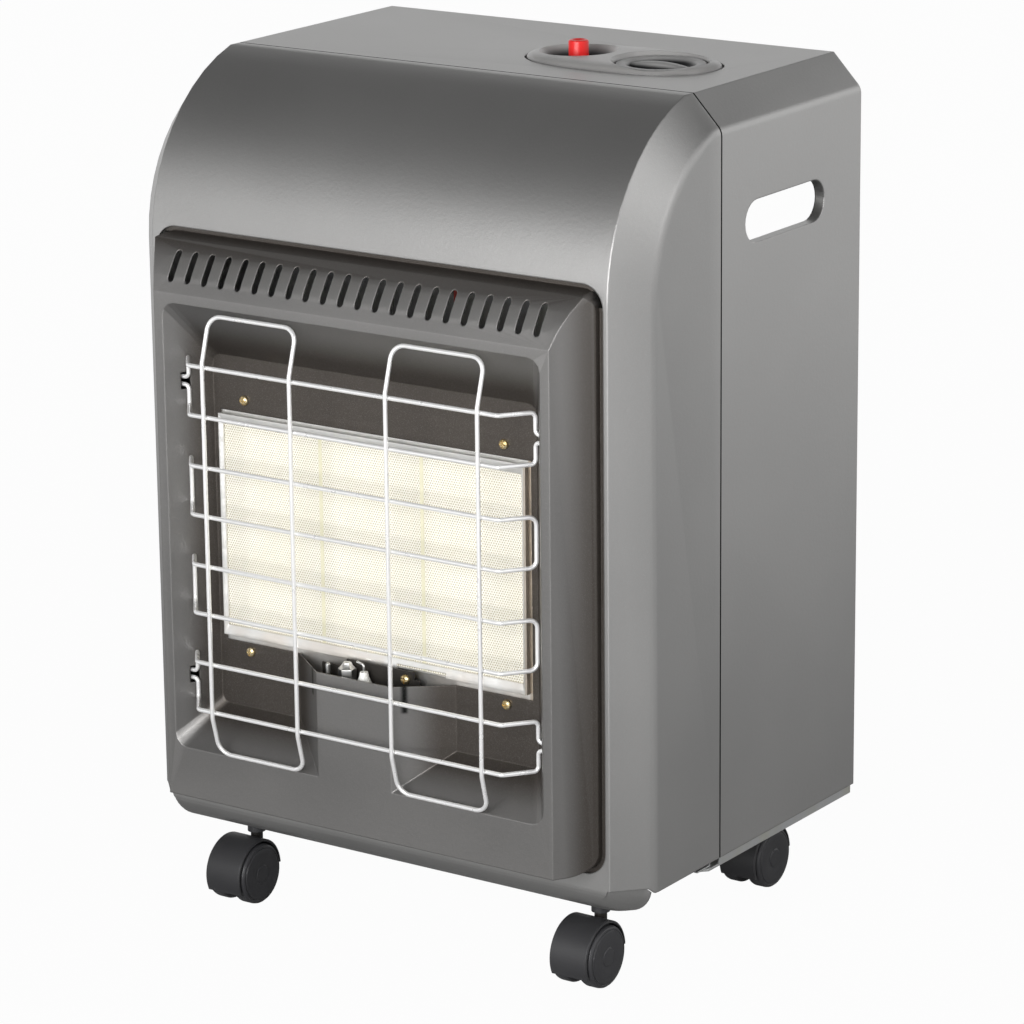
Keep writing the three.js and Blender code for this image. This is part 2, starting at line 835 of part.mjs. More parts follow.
function rearCover() {
  const half = halfWidth - rearFlange - coverGap;
  const inside = cabinetRear - sheet;
  const railTop = railBottom + railSize;
  const railFront = inside - fit - railSize;
  const top = railTop + fit + sheet;
  const skin = block([-half, half], [inside, cabinetRear], [coverBottom, top]);
  const over = block([-half, half], [railFront - fit - sheet, cabinetRear], [railTop + fit, top]);
  const hook = block([-half, half], [railFront - fit - sheet, railFront - fit],
    [railTop - coverHook, top]);
  const slots = [];
  for (let row = 0; row < coverSlotCount; row += 1) {
    for (const side of [-1, 1]) {
      const step = (row - (coverSlotCount - 1) / 2) * coverSlotPitch;
      const level = (coverBottom + railBottom) / 2 + step;
      const shape = stadium(coverSlotLength, coverSlotHeight, (side * half) / 2, level);
      slots.push(extruded(shape, "y", inside - fit, cabinetRear + far, 3));
    }
  }
  return cut(union([skin, over, hook]), slots);
}

// ---- burner surround ----------------------------------------------------------------------------

const flangeFace = sheet + fit; // front of the flange, behind the front panel's sheet
const wallRear = flangeFace + flangeTopStep + sheet;

// Side view of the surround's outside; skin draws it in by the sheet.
function surroundSide(skin) {
  const top = surroundTop - skin;
  const face = -surroundProud + skin;
  const crease = -bandCreaseProud + skin;
  const creaseZ = bandCrease - skin * 0.6;
  const points = [[face, surroundBottom + skin], [face, bandBottom - skin * 0.2]];
  const steps = 3;
  for (let step = 1; step <= steps; step += 1) {
    const share = step / steps;
    const bow = bandBow * 4 * share * (1 - share);
    points.push([
      face + (crease - face) * share - bow,
      bandBottom + (creaseZ - bandBottom) * share + bow / 2,
    ]);
  }
  points.push([sheet + fit, top], [wallRear, top], [wallRear, surroundBottom + skin]);
  return outline(points);
}

function surroundPlan(skin) {
  const wall = surroundHalfWidth - skin;
  const edge = bevelHalfWidth - skin;
  const rim = rimHalfWidth - skin * 0.5;
  const right = [[rim, -surroundProud + skin], [edge, -bevelProud + skin * 0.5],
    [wall, -bevelProud / 2], [wall, wallRear]];
  const left = right.map(([x, y]) => [-x, y]).reverse();
  return outline([...right, ...left]);
}

function surroundBody(skin) {
  const front = extruded(
    roundedRectangle(-surroundHalfWidth + skin, surroundHalfWidth - skin,
      surroundBottom + skin, surroundTop - skin, surroundCorner - skin),
    "y", -surroundProud - far, far, 4);
  const side = extruded(surroundSide(skin), "x", -surroundHalfWidth - far, surroundHalfWidth + far);
  const plan = extruded(surroundPlan(skin), "z", surroundBottom - far, surroundTop + far);
  return front.intersect(side).intersect(plan);
}

// The hollow in front of the back plate, widening to its mouth; skin grows it by the sheet.
function recessHollow(skin) {
  const depth = surroundProud - recessProud;
  const slopeTop = (mouthTop - recessTop) / depth;
  const slopeSide = (mouthHalfWidth - recessHalfWidth) / depth;
  const slopeFloor = (recessFloor - mouthBottom) / depth;
  const ring = (proud, radius) => {
    const out = proud - recessProud;
    const half = recessHalfWidth + slopeSide * out + skin * 0.9;
    const loop = roundedLoop(-half, half, recessFloor - slopeFloor * out - skin * 0.9,
      recessTop + slopeTop * out + skin * 0.9, radius);
    return loop.map(([x, z]) => new THREE.Vector3(x, -proud, z));
  };
  return loft([ring(surroundProud + 2, mouthCorner), ring(recessProud - skin, recessCorner)]);
}

function wellBody(skin, top) {
  const back = wellBackHalf - skin;
  const front = wellFrontHalf - skin;
  const shape = outline([[-back, -recessProud + sheet + far], [-back, -recessProud],
    [-front, -surroundProud], [-front, -surroundProud - far],
    [front, -surroundProud - far], [front, -surroundProud],
    [back, -recessProud], [back, -recessProud + sheet + far]]);
  return extruded(shape, "z", mouthBottom - far, top);
}

function wallXAt(proud) {
  const share = (proud - recessProud) / (surroundProud - recessProud);
  return recessHalfWidth + share * (mouthHalfWidth - recessHalfWidth);
}

const hoopLevels = Array.from({ length: hoopCount }, (_, k) => hoopFirst + k * hoopPitch);
const hookLevels = [hoopLevels[0], hoopLevels[hoopCount - 1]].map((low) => low + hoopHeight / 2);

function heaterSurround() {
  const shell = cut(surroundBody(0), [surroundBody(sheet)]);
  const hollow = recessHollow(0).subtract(wellBody(0, wellTop));
  const lining = recessHollow(sheet).subtract(wellBody(sheet, wellTop + far))
    .intersect(surroundBody(0));
  const wellMouth = wellBody(sheet, wellTop).intersect(
    block([-wellBackHalf, wellBackHalf], [-surroundProud + sheet, far],
      [mouthBottom + sheet, wellTop + far]));
  const span = surroundHalfWidth + flangeHold;
  const flange = block([-span, span], [flangeFace, flangeFace + sheet],
    [surroundBottom - flangeTopHold, hoodStart]);
  const flangeOver = block([-span, span], [flangeFace + flangeTopStep, wallRear],
    [surroundTop - sheet, surroundTop + flangeTopHold]);
  const throat = extruded(
    roundedRectangle(-surroundHalfWidth + sheet, surroundHalfWidth - sheet,
      surroundBottom + sheet, surroundTop - sheet, surroundCorner - sheet),
    "y", 0, far, 4);
  const slots = [];
  for (let k = 0; k < slotCount; k += 1) {
    const x = (k - (slotCount - 1) / 2) * slotPitch;
    const shape = new THREE.Shape();
    const radius = slotWidth / 2;
    shape.absarc(x, slotHigh - radius, radius, 0, Math.PI);
    shape.absarc(x, slotLow + radius, radius, Math.PI, TURN);
    shape.closePath();
    slots.push(extruded(shape, "y", -surroundProud - far, -recessProud, 3));
  }
  const burnerHole = block([-frameHalfWidth - frameClear, frameHalfWidth + frameClear],
    [-surroundProud / 2, far], [wellTop, frameTop + frameClear]);
  const hookHoles = hookLevels.flatMap((level) => [-1, 1].map((side) => {
    const edges = [-far / 4, hookReach].map((step) => side * (wallXAt(hoopEndProud) + step));
    return block(edges.sort((a, b) => a - b),
      [-hoopEndProud - hookSlotWide / 2, -hoopEndProud + hookSlotWide / 2],
      [level - hookSlotHigh / 2, level + hookSlotHigh / 2]);
  }));
  const screwHoles = screwPlaces().map(([, x, z]) => lyingPost(screwShank + fit, x, z,
    -recessProud - far / 6, far));
  const behindPlate = extruded(surroundPlan(sheet * 2), "z", surroundBottom + 3 * sheet,
    surroundTop - 4 * sheet).intersect(block([-halfWidth, halfWidth],
    [-recessProud + sheet, far], [surroundBottom, surroundTop]));
  const plated = union([shell, lining]);
  const opened = cut(plated, [hollow, behindPlate]);
  const ringed = union([opened, cut(flange, [throat]), flangeOver]);
  return cut(ringed, [wellMouth, burnerHole, ...hookHoles, ...screwHoles, ...slots]);
}

// ---- burner -------------------------------------------------------------------------------------

const flangeBack = -recessProud + sheet + fit + frameFlange; // rear face of the frame's flange

function lyingPost(radius, x, z, from, to, segments = 12) {
  const body = new THREE.CylinderGeometry(radius, radius, to - from, segments);
  body.translate(x, (from + to) / 2, z);
  return solid(body);
}

function screwPlaces() {
  return [
    ["burner_screw_upper_left", -screwHalfSpan, screwUpper],
    ["burner_screw_upper_right", screwHalfSpan, screwUpper],
    ["burner_screw_lower_left", -screwHalfSpan, screwLower],
    ["burner_screw_lower_right", screwHalfSpan, screwLower],
  ];
}

function burnerFrame() {
  const inside = frameHalfWidth - frameLip;
  const collar = block([-frameHalfWidth, frameHalfWidth], [-frameProud, flangeBack],
    [frameBottom, frameTop]);
  const flange = block([-flangeHalfWidth, flangeHalfWidth], [flangeBack - frameFlange, flangeBack],
    [frameBottom - flangeMargin, frameTop + flangeMargin]);
  const ring = (half, low, high, y) => roundedLoop(-half, half, low, high, frameCorner, 1)
    .map(([x, z]) => new THREE.Vector3(x, y, z));
  const flare = loft([
    ring(inside, frameBottom + frameLip, frameTop - frameLip, -frameProud - fit),
    ring(windowHalfWidth, windowBottom, windowTop, -frameProud + frameBead),
  ]);
  const window = block([-windowHalfWidth, windowHalfWidth], [-frameProud, far],
    [windowBottom, windowTop]);
  const seat = block([-inside, inside], [plaqueFront - fit, far],
    [frameBottom + frameLip, frameTop - frameLip]);
  const notch = block([lipNotchLeft, lipNotchRight], [-frameProud - frameLip, plaqueFront - fit],
    [frameBottom - frameLip, (frameBottom + windowBottom) / 2]);
  const holes = screwPlaces().map(([, x, z]) => lyingPost(screwShank + fit, x, z, -far, far));
  return cut(union([collar, flange]), [flare, window, seat, notch, ...holes]);
}

const plaqueFront = -frameProud + frameBead + frameLip + fit;
const plaqueHalf = frameHalfWidth - frameLip - fit;
const plaqueLow = frameBottom + frameLip + fit;
const plaqueHigh = frameTop - frameLip - fit;
const housingFront = flangeBack + fit;

function plaque(k) {
  const width = (2 * plaqueHalf - (plaqueCount - 1) * plaqueJoint) / plaqueCount;
  const left = -plaqueHalf + k * (width + plaqueJoint);
  return block([left, left + width], [plaqueFront, plaqueFront + plaqueThick],
    [plaqueLow, plaqueHigh]);
}

const venturiPlaces = Array.from({ length: plaqueCount },
  (_, k) => (k - (plaqueCount - 1) / 2) * venturiPitch);

function burnerHousing() {
  const half = plaqueHalf + fit + housingWall;
  const low = plaqueLow - fit - housingWall;
  const high = plaqueHigh + fit + housingWall;
  const back = housingFront + housingDepth;
  const box = block([-half, half], [housingFront, back], [low, high]);
  const seat = block([-half + housingWall, half - housingWall],
    [housingFront - far, plaqueFront + plaqueThick + fit], [low + housingWall, high - housingWall]);
  const plenum = block([-half + housingWall + housingLedge, half - housingWall - housingLedge],
    [housingFront, back - housingWall],
    [low + housingWall + housingLedge, high - housingWall - housingLedge]);
  const tubes = venturiPlaces.map((x) => turned([[0, venturiBottom],
    [venturiRadius, venturiBottom], [venturiRadius, venturiBottom + 2],
    [venturiRadius - 1.2, venturiBottom + 6], [venturiRadius - 1.2, low - 4],
    [venturiRadius, low + housingWall / 2], [0, low + housingWall / 2]], x, venturiDepth, 16));
  const bores = venturiPlaces.map((x) => post(venturiBore - 1, x, venturiDepth,
    venturiBottom - far, low + housingWall + housingLedge + 1, 16));
  return cut(union([box, ...tubes]), [seat, plenum, ...bores]);
}

function gasManifold() {
  const reach = manifoldSize / 2;
  const rail = block([-manifoldHalf, manifoldHalf], [venturiDepth - reach, venturiDepth + reach],
    [manifoldHeight - reach, manifoldHeight + reach]);
  const legs = [-1, 1].map((side) => block(
    [side * venturiPitch * 0.5 - reach, side * venturiPitch * 0.5 + reach],
    [venturiDepth - reach, venturiDepth + reach],
    [panLevel + panSheet + fit, manifoldHeight]));
  const feet = [-1, 1].map((side) => block(
    [side * venturiPitch * 0.5 - manifoldSize, side * venturiPitch * 0.5 + manifoldSize],
    [venturiDepth - reach, venturiDepth + manifoldSize],
    [panLevel + panSheet + fit, panLevel + 2 * panSheet + fit]));
  return union([rail, ...legs, ...feet]);
}

function injector(x) {
  const low = manifoldHeight + manifoldSize / 2 + fit;
  return turned([[0, low], [injectorRadius, low], [injectorRadius, low + 8],
    [injectorRadius - 1.2, low + 8], [injectorRadius - 1.2, injectorTip - 3],
    [1, injectorTip], [0, injectorTip]], x, venturiDepth, 6);
}

function panScrew(x, face, z) {
  const profile = [[0, 0], [screwHeadRadius * 0.55, 0], [screwHeadRadius * 0.9, screwHeadHeight * 0.45],
    [screwHeadRadius, screwHeadHeight], [screwShank, screwHeadHeight],
    [screwShank, screwHeadHeight + screwLength], [0, screwHeadHeight + screwLength]];
  const points = profile.map(([radius, along]) => new THREE.Vector2(radius, along));
  const body = new THREE.LatheGeometry(points, 12);
  body.translate(x, face - screwHeadHeight, z);
  const cross = [[screwHeadRadius * 0.7, 0.35], [0.35, screwHeadRadius * 0.7]]
    .map(([a, b]) => block([x - a, x + a], [face - screwHeadHeight - 1, face - screwHeadHeight * 0.45],
      [z - b, z + b]));
  return cut(solid(body), cross);
}

// ---- pilot and ignition -----------------------------------------------------------------------------

function pilotBracket() {
  const plateBack = -plateProud + sheet;
  const upright = block([plateLeft, plateRight], [-plateProud, plateBack], [plateBottom, plateTop]);
  const shelf = block([shelfLeft, shelfRight], [-shelfProud, plateBack],
    [plateBottom, plateBottom + sheet]);
  const ears = [[plateLeft - far, plateX[0]], [plateX[1], plateRight + far]].map((x) => block(
    x, [-far, far], [plateTop - plateStep, plateTop + far]));
  const armSpan = 9;
  const tabFront = housingFront;
  const arms = [plateLeft, plateRight - armSpan].map((x) => union([
    block([x, x + armSpan], [-plateProud, tabFront + sheet], [plateBottom, plateBottom + sheet]),
    block([x, x + armSpan], [tabFront, tabFront + sheet], [plateBottom, frameBottom]),
  ]));
  const holes = [
    post(pilotNeck + fit, pilotX, pilotY, plateBottom - far, plateBottom + far / 3, 16),
    post(coupleRadius + fit, coupleX, pilotY, plateBottom - far, plateBottom + far / 3, 12),
    post(insulatorNeck + fit, sparkX, sparkY, plateBottom - far, plateBottom + far / 3, 16),
    lyingPost(screwShank + fit, pilotScrewX, pilotScrewZ, -far, plateBack + fit),
  ];
  return cut(union([upright, shelf, ...arms]), [...ears, ...holes]);
}

function pilotBurner() {
  const neck = pilotNeck;
  const nut = 5.8;
  const nutLow = pilotTop - 11;
  const stem = turned([[0, pilotBottom], [neck, pilotBottom], [neck, nutLow + 1], [0, nutLow + 1]],
    pilotX, pilotY, 16);
  const collar = turned([[0, plateBottom + sheet + fit], [nut, plateBottom + sheet + fit],
    [nut, plateBottom + sheet + fit + 3], [0, plateBottom + sheet + fit + 3]], pilotX, pilotY, 6);
  const head = turned([[0, nutLow], [nut, nutLow], [nut, pilotTop - 4], [neck, pilotTop - 2],
    [neck - 1, pilotTop], [0, pilotTop]], pilotX, pilotY, 6);
  return union([stem, collar, head]);
}

function pilotPipeRun() {
  return bar(bentRoute([
    [knobX - valveHalfWidth / 2, knobY - valveHalfDepth - fit, pilotPipeLevel],
    [knobX - valveHalfWidth / 2, pilotPipeDepth, pilotPipeLevel],
    [pilotX, pilotPipeDepth, pilotPipeLevel],
    [pilotX, pilotPipeDepth, pilotRun],
    [pilotX, pilotY, pilotRun],
    [pilotX, pilotY, pilotBottom - fit],
  ], pilotPipe * 3, false, 4), pilotPipe, 8);
}

function burnerPipe() {
  return bar(bentRoute([
    [knobX, knobY - valveHalfDepth - fit, mainPipeLevel],
    [knobX, mainPipeDepth, mainPipeLevel],
    [knobX, mainPipeDepth, manifoldHeight],
    [knobX, venturiDepth, manifoldHeight],
    [manifoldHalf + fit, venturiDepth, manifoldHeight],
  ], mainPipe * 3, false, 4), mainPipe, 10);
}

function thermocouple() {
  const probe = turned([[0, plateBottom - 6], [coupleRadius, plateBottom - 6],
    [coupleRadius, coupleTip - 1], [coupleRadius / 2, coupleTip], [0, coupleTip]],
  coupleX, pilotY, 10);
  const lead = bar(bentRoute([
    [coupleX, pilotY, plateBottom - 4],
    [coupleX, pilotY, coupleRun],
    [coupleX, coupleDepth, coupleRun],
    [coupleX, coupleDepth, coupleLevel],
    [coupleValveX, coupleDepth, coupleLevel],
    [coupleValveX, knobY - valveHalfDepth - fit, coupleLevel],
  ], coupleLead * 6, false, 4), coupleLead, 6);
  return union([probe, lead]);
}

function electrodeInsulator() {
  const foot = insulatorBottom + 7.5;
  const body = turned([[0, insulatorBottom - 5], [insulatorNeck, insulatorBottom - 5],
    [insulatorNeck, insulatorBottom], [insulatorFoot, insulatorBottom], [insulatorFoot, foot],
    [insulatorNeck + 0.6, insulatorTop - 3], [insulatorNeck, insulatorTop], [0, insulatorTop]],
  sparkX, sparkY, 16);
  return body.subtract(post(sparkRadius + fit, sparkX, sparkY, insulatorBottom - far,
    insulatorTop + far, 10));
}

function sparkElectrode() {
  const tip = insulatorTop + 4.5;
  return bar(bentRoute([
    [sparkX, sparkY, sparkBottom - 4],
    [sparkX, sparkY, tip],
    [pilotX + 7.5, pilotY, tip + 1.5],
  ], 2, false, 3), sparkRadius, 6);
}

function ignitionLead() {
  return bar(bentRoute([
    [buttonX, buttonY - igniterRadius - fit, leadLevel],
    [buttonX, leadDepth, leadLevel],
    [leadX, leadDepth, leadLevel],
    [leadX, leadDepth, leadRun],
    [leadX, sparkY, leadRun],
    [sparkX, sparkY, leadRun],
    [sparkX, sparkY, sparkBottom - 4 - fit],
  ], leadRadius * 1.9, false, 3), leadRadius, 8);
}

// ---- controls ------------------------------------------------------------------------------------------

// Top surface of the moulded bezel: loops that shrink as the dome rises.
function bezelDome() {
  const start = cabinetTop - sheet - fit - bezelFlangeThick;
  const rows = [[start, 0], [cabinetTop - 0.4, 0], [cabinetTop + bezelRise * 0.35, 2],
    [cabinetTop + bezelRise * 0.7, 6], [cabinetTop + bezelRise * 0.92, 13],
    [cabinetTop + bezelRise, 22]];
  return loft(rows.map(([z, shrink]) => bezelOutline(-bezelGap - shrink)
    .map(([x, y]) => new THREE.Vector3(x, y, z))));
}

function controlBezel() {
  const flangeTop = cabinetTop - sheet - fit;
  const flange = extruded(outline(bezelOutline(bezelFlange)), "z",
    flangeTop - bezelFlangeThick, flangeTop);
  const crown = cabinetTop + bezelRise + 1;
  const dialInner = knobRadius + dialWallGap;
  const cup = turned([[0, dialFloor - dialWall], [dialInner + dialWall, dialFloor - dialWall],
    [dialInner + dialWall, flangeTop], [0, flangeTop]], knobX, knobY, 24);
  const dialHollow = turned([[0, dialFloor], [dialInner, dialFloor], [dialInner, cabinetTop - 2],
    [dialInner + 1.2, crown], [0, crown]], knobX, knobY, 24);
  const bossHole = post(knobBossRadius + dialWallGap, knobX, knobY, dialFloor - far,
    dialFloor + far / 3, 20);
  const dishCup = turned([[0, dishFloor - dialWall], [dishFloorRadius + 2, dishFloor - dialWall],
    [dishRadius - 2, flangeTop], [0, flangeTop]], buttonX, buttonY, 24);
  const dish = turned([[0, dishFloor], [dishFloorRadius, dishFloor],
    [dishFloorRadius + 4, dishFloor + 1.2], [dishRadius - 3, cabinetTop + 1],
    [dishRadius, cabinetTop + bezelRise], [dishRadius, crown], [0, crown]], buttonX, buttonY, 24);
  const buttonHole = post(buttonRadius + 2 * fit, buttonX, buttonY, dishFloor - far,
    dishFloor + far / 3, 16);
  return cut(union([bezelDome(), flange, cup, dishCup]), [dialHollow, bossHole, dish, buttonHole]);
}

function igniterButton() {
  return turned([[0, buttonStemEnd], [buttonStem, buttonStemEnd], [buttonStem, buttonBottom],
    [buttonRadius, buttonBottom], [buttonRadius, buttonTop - 1.2],
    [buttonRadius - 1.2, buttonTop], [0, buttonTop]], buttonX, buttonY, 16);
}

function igniterBody() {
  const underPlate = bracketLevel - fit;
  const overPlate = bracketLevel + bracketSheet + fit;
  const neck = igniterRadius - 2;
  const body = turned([[0, igniterBottom], [igniterRadius, igniterBottom],
    [igniterRadius, underPlate], [neck, underPlate], [neck, overPlate],
    [igniterRadius + 1, overPlate], [igniterRadius + 1, overPlate + 2.5], [0, overPlate + 2.5]],
  buttonX, buttonY, 16);
  return body.subtract(post(buttonStem + fit, buttonX, buttonY, igniterBottom + 6,
    overPlate + far, 12));
}

function controlKnob() {
  const rim = 1;
  const body = turned([[0, knobBossBottom], [knobBossRadius, knobBossBottom],
    [knobBossRadius, knobUnderside], [knobRadius, knobUnderside], [knobRadius, knobTop - rim],
    [knobRadius - rim, knobTop], [knobBowlRadius, knobTop],
    [knobBowlRadius - 2.5, knobBowlFloor + 1.5], [knobBowlRadius - 5, knobBowlFloor],
    [0, knobBowlFloor]], knobX, knobY, 24);
  const length = knobBowlRadius + 0.5;
  const arch = new THREE.Shape();
  arch.moveTo(-length, knobBowlFloor - 0.5);
  arch.lineTo(length, knobBowlFloor - 0.5);
  arch.lineTo(length, knobTop - 2);
  arch.quadraticCurveTo(0, knobTop + 3, -length, knobTop - 2);
  arch.closePath();
  const grip = extruded(arch, "y", knobY - gripHalfWidth, knobY + gripHalfWidth, 6);
  const centred = grip.translate([knobX, 0, 0]);
  const shaftHole = post(spindleRadius + fit, knobX, knobY, knobBossBottom - far,
    spindleTop + fit, 16);
  return union([body, centred]).subtract(shaftHole);
}

function valveSpindle() {
  const shaft = post(spindleRadius, knobX, knobY, spindleBottom, spindleTop, 16);
  const half = tongueThick / 2;
  return shaft.add(block([knobX - half, knobX + half], [knobY - tongueReach, knobY + tongueReach],
    [tongueBottom, spindleBottom + 1]));
}

function valvePlug() {
  const half = tongueThick / 2 + fit;
  const reach = tongueReach + fit;
  return post(plugRadius, knobX, knobY, plugBottom, plugTop, 20)
    .subtract(block([knobX - half, knobX + half], [knobY - reach, knobY + reach],
      [tongueBottom - knobTravel - 1, plugTop + far]));
}

function gasValve() {
  const top = bracketLevel - fit;
  const body = block([knobX - valveHalfWidth, knobX + valveHalfWidth],
    [knobY - valveHalfDepth, knobY + valveHalfDepth], [valveBottom, top]);
  const bush = post(bushRadius, knobX, knobY, top - 1, bushTop, 20);
  const chamber = post(plugRadius + fit, knobX, knobY, plugBottom - fit, plugTop + 2, 24);
  const bore = post(spindleRadius + fit, knobX, knobY, plugTop, bushTop + far, 16);
  return cut(union([body, bush]), [chamber, bore]);
}

function valveBracket() {
  const front = Math.min(knobY, buttonY) - bracketHalfDepth;
  const back = Math.max(knobY, buttonY) + bracketHalfDepth;
  const top = cabinetTop - sheet - fit;
  const plate = block([bracketLeft, bracketRight], [front, back],
    [bracketLevel, bracketLevel + bracketSheet]);
  const legs = [[bracketLeft, bracketLeft + bracketSheet],
    [bracketRight - bracketSheet, bracketRight]].map((x) => block(x, [front, back],
    [bracketLevel, top]));
  const tab = 9;
  const tabs = [[bracketLeft - tab, bracketLeft + bracketSheet],
    [bracketRight - bracketSheet, bracketRight + tab]].map((x) => block(x, [front, back],
    [top - bracketSheet, top]));
  const holes = [
    post(bushRadius + fit, knobX, knobY, bracketLevel - far / 3, bracketLevel + far / 3, 20),
    post(igniterRadius - 2 + fit, buttonX, buttonY, bracketLevel - far / 3,
      bracketLevel + far / 3, 16),
  ];
  return cut(union([plate, ...legs, ...tabs]), holes);
}

function inletHoseTail() {
  const back = knobY + valveHalfDepth + fit;
  const level = valveBottom + valveHalfWidth;
  const profile = [[0, 0], [5.5, 0], [5.5, 7], [3.6, 7], [3.6, 9]];
  for (let barb = 0; barb < 4; barb += 1) {
    const start = 9 + barb * 5;
    profile.push([4.6, start], [3.6, start + 4.5]);
  }
  profile.push([3.2, 30], [2.2, 30], [2.2, 2], [0, 2]);
  const points = profile.map(([radius, along]) => new THREE.Vector2(radius, along));
  const body = new THREE.LatheGeometry(points, 12);
  body.translate(knobX, back, level);
  return solid(body);
}

// ---- guard --------------------------------------------------------------------------------------------

// Distance that the guard's wire keeps from the slanted wall of the recess.
function hoopEndX() {
  const run = surroundProud - recessProud;
  const rise = mouthHalfWidth - recessHalfWidth;
  return wallXAt(hoopEndProud) - (wire + fit) * Math.hypot(run, rise) / run;
}

function guardLoop(side) {
  const inner = side * loopInner;
  const outer = side * loopOuter;
  const corners = [[inner, loopBendLow], [inner, loopBendHigh], [inner, loopTop], [outer, loopTop],
    [outer, loopBendHigh], [outer, loopBendLow], [outer, loopBottom], [inner, loopBottom]];
  const proudAt = (z) => {
    if (z > loopBendHigh) return loopTopProud;
    return z < loopBendLow ? loopBottomProud : guardProud;
  };
  return bar(bentRoute(corners.map(([x, z]) => [x, -proudAt(z), z]), loopCorner, true, 2),
    wire, 6, true);
}

function closedHoop(low) {
  const end = hoopEndX();
  const high = low + hoopHeight;
  const front = -guardProud + 2 * wire - weldSink;
  const corners = [[-hoopBendX, front, low], [hoopBendX, front, low], [end, -hoopEndProud, low],
    [end, -hoopEndProud, high], [hoopBendX, front, high], [-hoopBendX, front, high],
    [-end, -hoopEndProud, high], [-end, -hoopEndProud, low]];
  return bar(bentRoute(corners, hoopCorner, true, 1), wire, 6, true);
}

function hookedBar(level, towards) {
  const end = hoopEndX();
  const front = -guardProud + 2 * wire - weldSink;
  const tip = level + towards * (hoopHeight / 2 - hookGap / 2);
  const reach = end + hookReach;
  const corners = [[-reach, -hoopEndProud, tip], [-end, -hoopEndProud, tip],
    [-end, -hoopEndProud, level], [-hoopBendX, front, level], [hoopBendX, front, level],
    [end, -hoopEndProud, level], [end, -hoopEndProud, tip], [reach, -hoopEndProud, tip]];
  return bar(bentRoute(corners, wire + 1, false, 1), wire, 6);
}

function wireGuard() {
  const hooked = [hoopLevels[0], hoopLevels[hoopCount - 1]].flatMap((low) => [
    hookedBar(low, 1), hookedBar(low + hoopHeight, -1)]);
  const closed = hoopLevels.slice(1, -1).map(closedHoop);
  return union([guardLoop(-1), guardLoop(1), ...closed, ...hooked]);
}

// ---- castors --------------------------------------------------------------------------------------------

function castorPlaces() {
  return [
    ["front_left", -castorFrontX, castorFrontY],
    ["front_right", castorFrontX, castorFrontY],
    ["rear_left", -castorRearX, castorRearY],
    ["rear_right", castorRearX, castorRearY],
  ];
}

const stemFlangeLow = panLevel - fit - stemFlangeThick;
const stemBossTop = stemFlangeLow - fit;

function castorHood() {
  const inner = wheelRadius + hoodClear;
  const outer = inner + hoodWall;
  const from = THREE.MathUtils.degToRad(hoodRearAngle);
  const to = THREE.MathUtils.degToRad(hoodFrontAngle);
  const band = new THREE.Shape();
  band.absarc(-castorTrail, wheelRadius, outer, from, to, false);
  band.absarc(-castorTrail, wheelRadius, inner, to, from, true);
  band.closePath();
  const webShape = new THREE.Shape();
  webShape.absarc(-castorTrail, wheelRadius, outer - hoodWall / 2, from, to, false);
  webShape.lineTo(-castorTrail - axleRadius, wheelRadius - axleRadius * 2.6);
  webShape.lineTo(-castorTrail + axleRadius, wheelRadius - axleRadius * 2.6);
  webShape.closePath();
  const shell = extruded(band, "x", -hoodHalfWidth, hoodHalfWidth, 8);
  const web = extruded(webShape, "x", -hoodWeb, hoodWeb, 8);
  const bossLow = wheelRadius + 2;
  const boss = post(stemBoss, 0, 0, bossLow, stemBossTop, 12)
    .subtract(wheelSpace(inner));
  const bore = post(stemRadius + fit, 0, 0, stemBottom - 2, stemBossTop + far, 12);
  const axleHole = lyingAcross(axleRadius + fit, -castorTrail, wheelRadius, -far, far, 12);
  return cut(union([shell, web, boss]), [bore, axleHole]);
}

// What the two wheels sweep, so the swivel boss stays clear of them.
function wheelSpace(radius) {
  return union([[-far, -hoodWeb], [hoodWeb, far]].map(([from, to]) => lyingAcross(
    radius, -castorTrail, wheelRadius, from, to, 16)));
}

function lyingAcross(radius, y, z, from, to, segments) {
  const body = new THREE.CylinderGeometry(radius, radius, to - from, segments);
  body.rotateZ(Math.PI / 2);
  body.translate((from + to) / 2, y, z);
  return solid(body);
}

function castorWheel(side) {
  const rim = wheelRadius / Math.cos(Math.PI / wheelSides);
  const points = [[axleRadius + fit, wheelInnerFace], [rim, wheelInnerFace],
    [rim, wheelOuterFace - 2.4], [rim - 3, wheelOuterFace], [0, wheelOuterFace],
    [0, axleHalf + fit], [axleRadius + fit, axleHalf + fit], [axleRadius + fit, wheelInnerFace]];
  const body = new THREE.LatheGeometry(points.map(([r, x]) => new THREE.Vector2(r, x)), wheelSides);
  body.rotateY(Math.PI / wheelSides);
  body.rotateZ(-Math.PI / 2);
  if (side < 0) body.rotateZ(Math.PI);
  body.translate(0, -castorTrail, wheelRadius);
  return solid(body);
}

function castorStem() {
  const flangeTop = panLevel - fit;
  const nutLow = panLevel + panSheet + fit;
  return turned([[0, stemBottom], [stemRadius - 0.8, stemBottom], [stemRadius, stemBottom + 1.5],
    [stemRadius, stemFlangeLow], [stemFlange, stemFlangeLow], [stemFlange, flangeTop],
    [stemRadius, flangeTop], [stemRadius, nutLow], [stemNut, nutLow],
    [stemNut, nutLow + stemNutThick], [stemRadius, nutLow + stemNutThick],
    [stemRadius, stemTop], [0, stemTop]], 0, 0, 12);
}

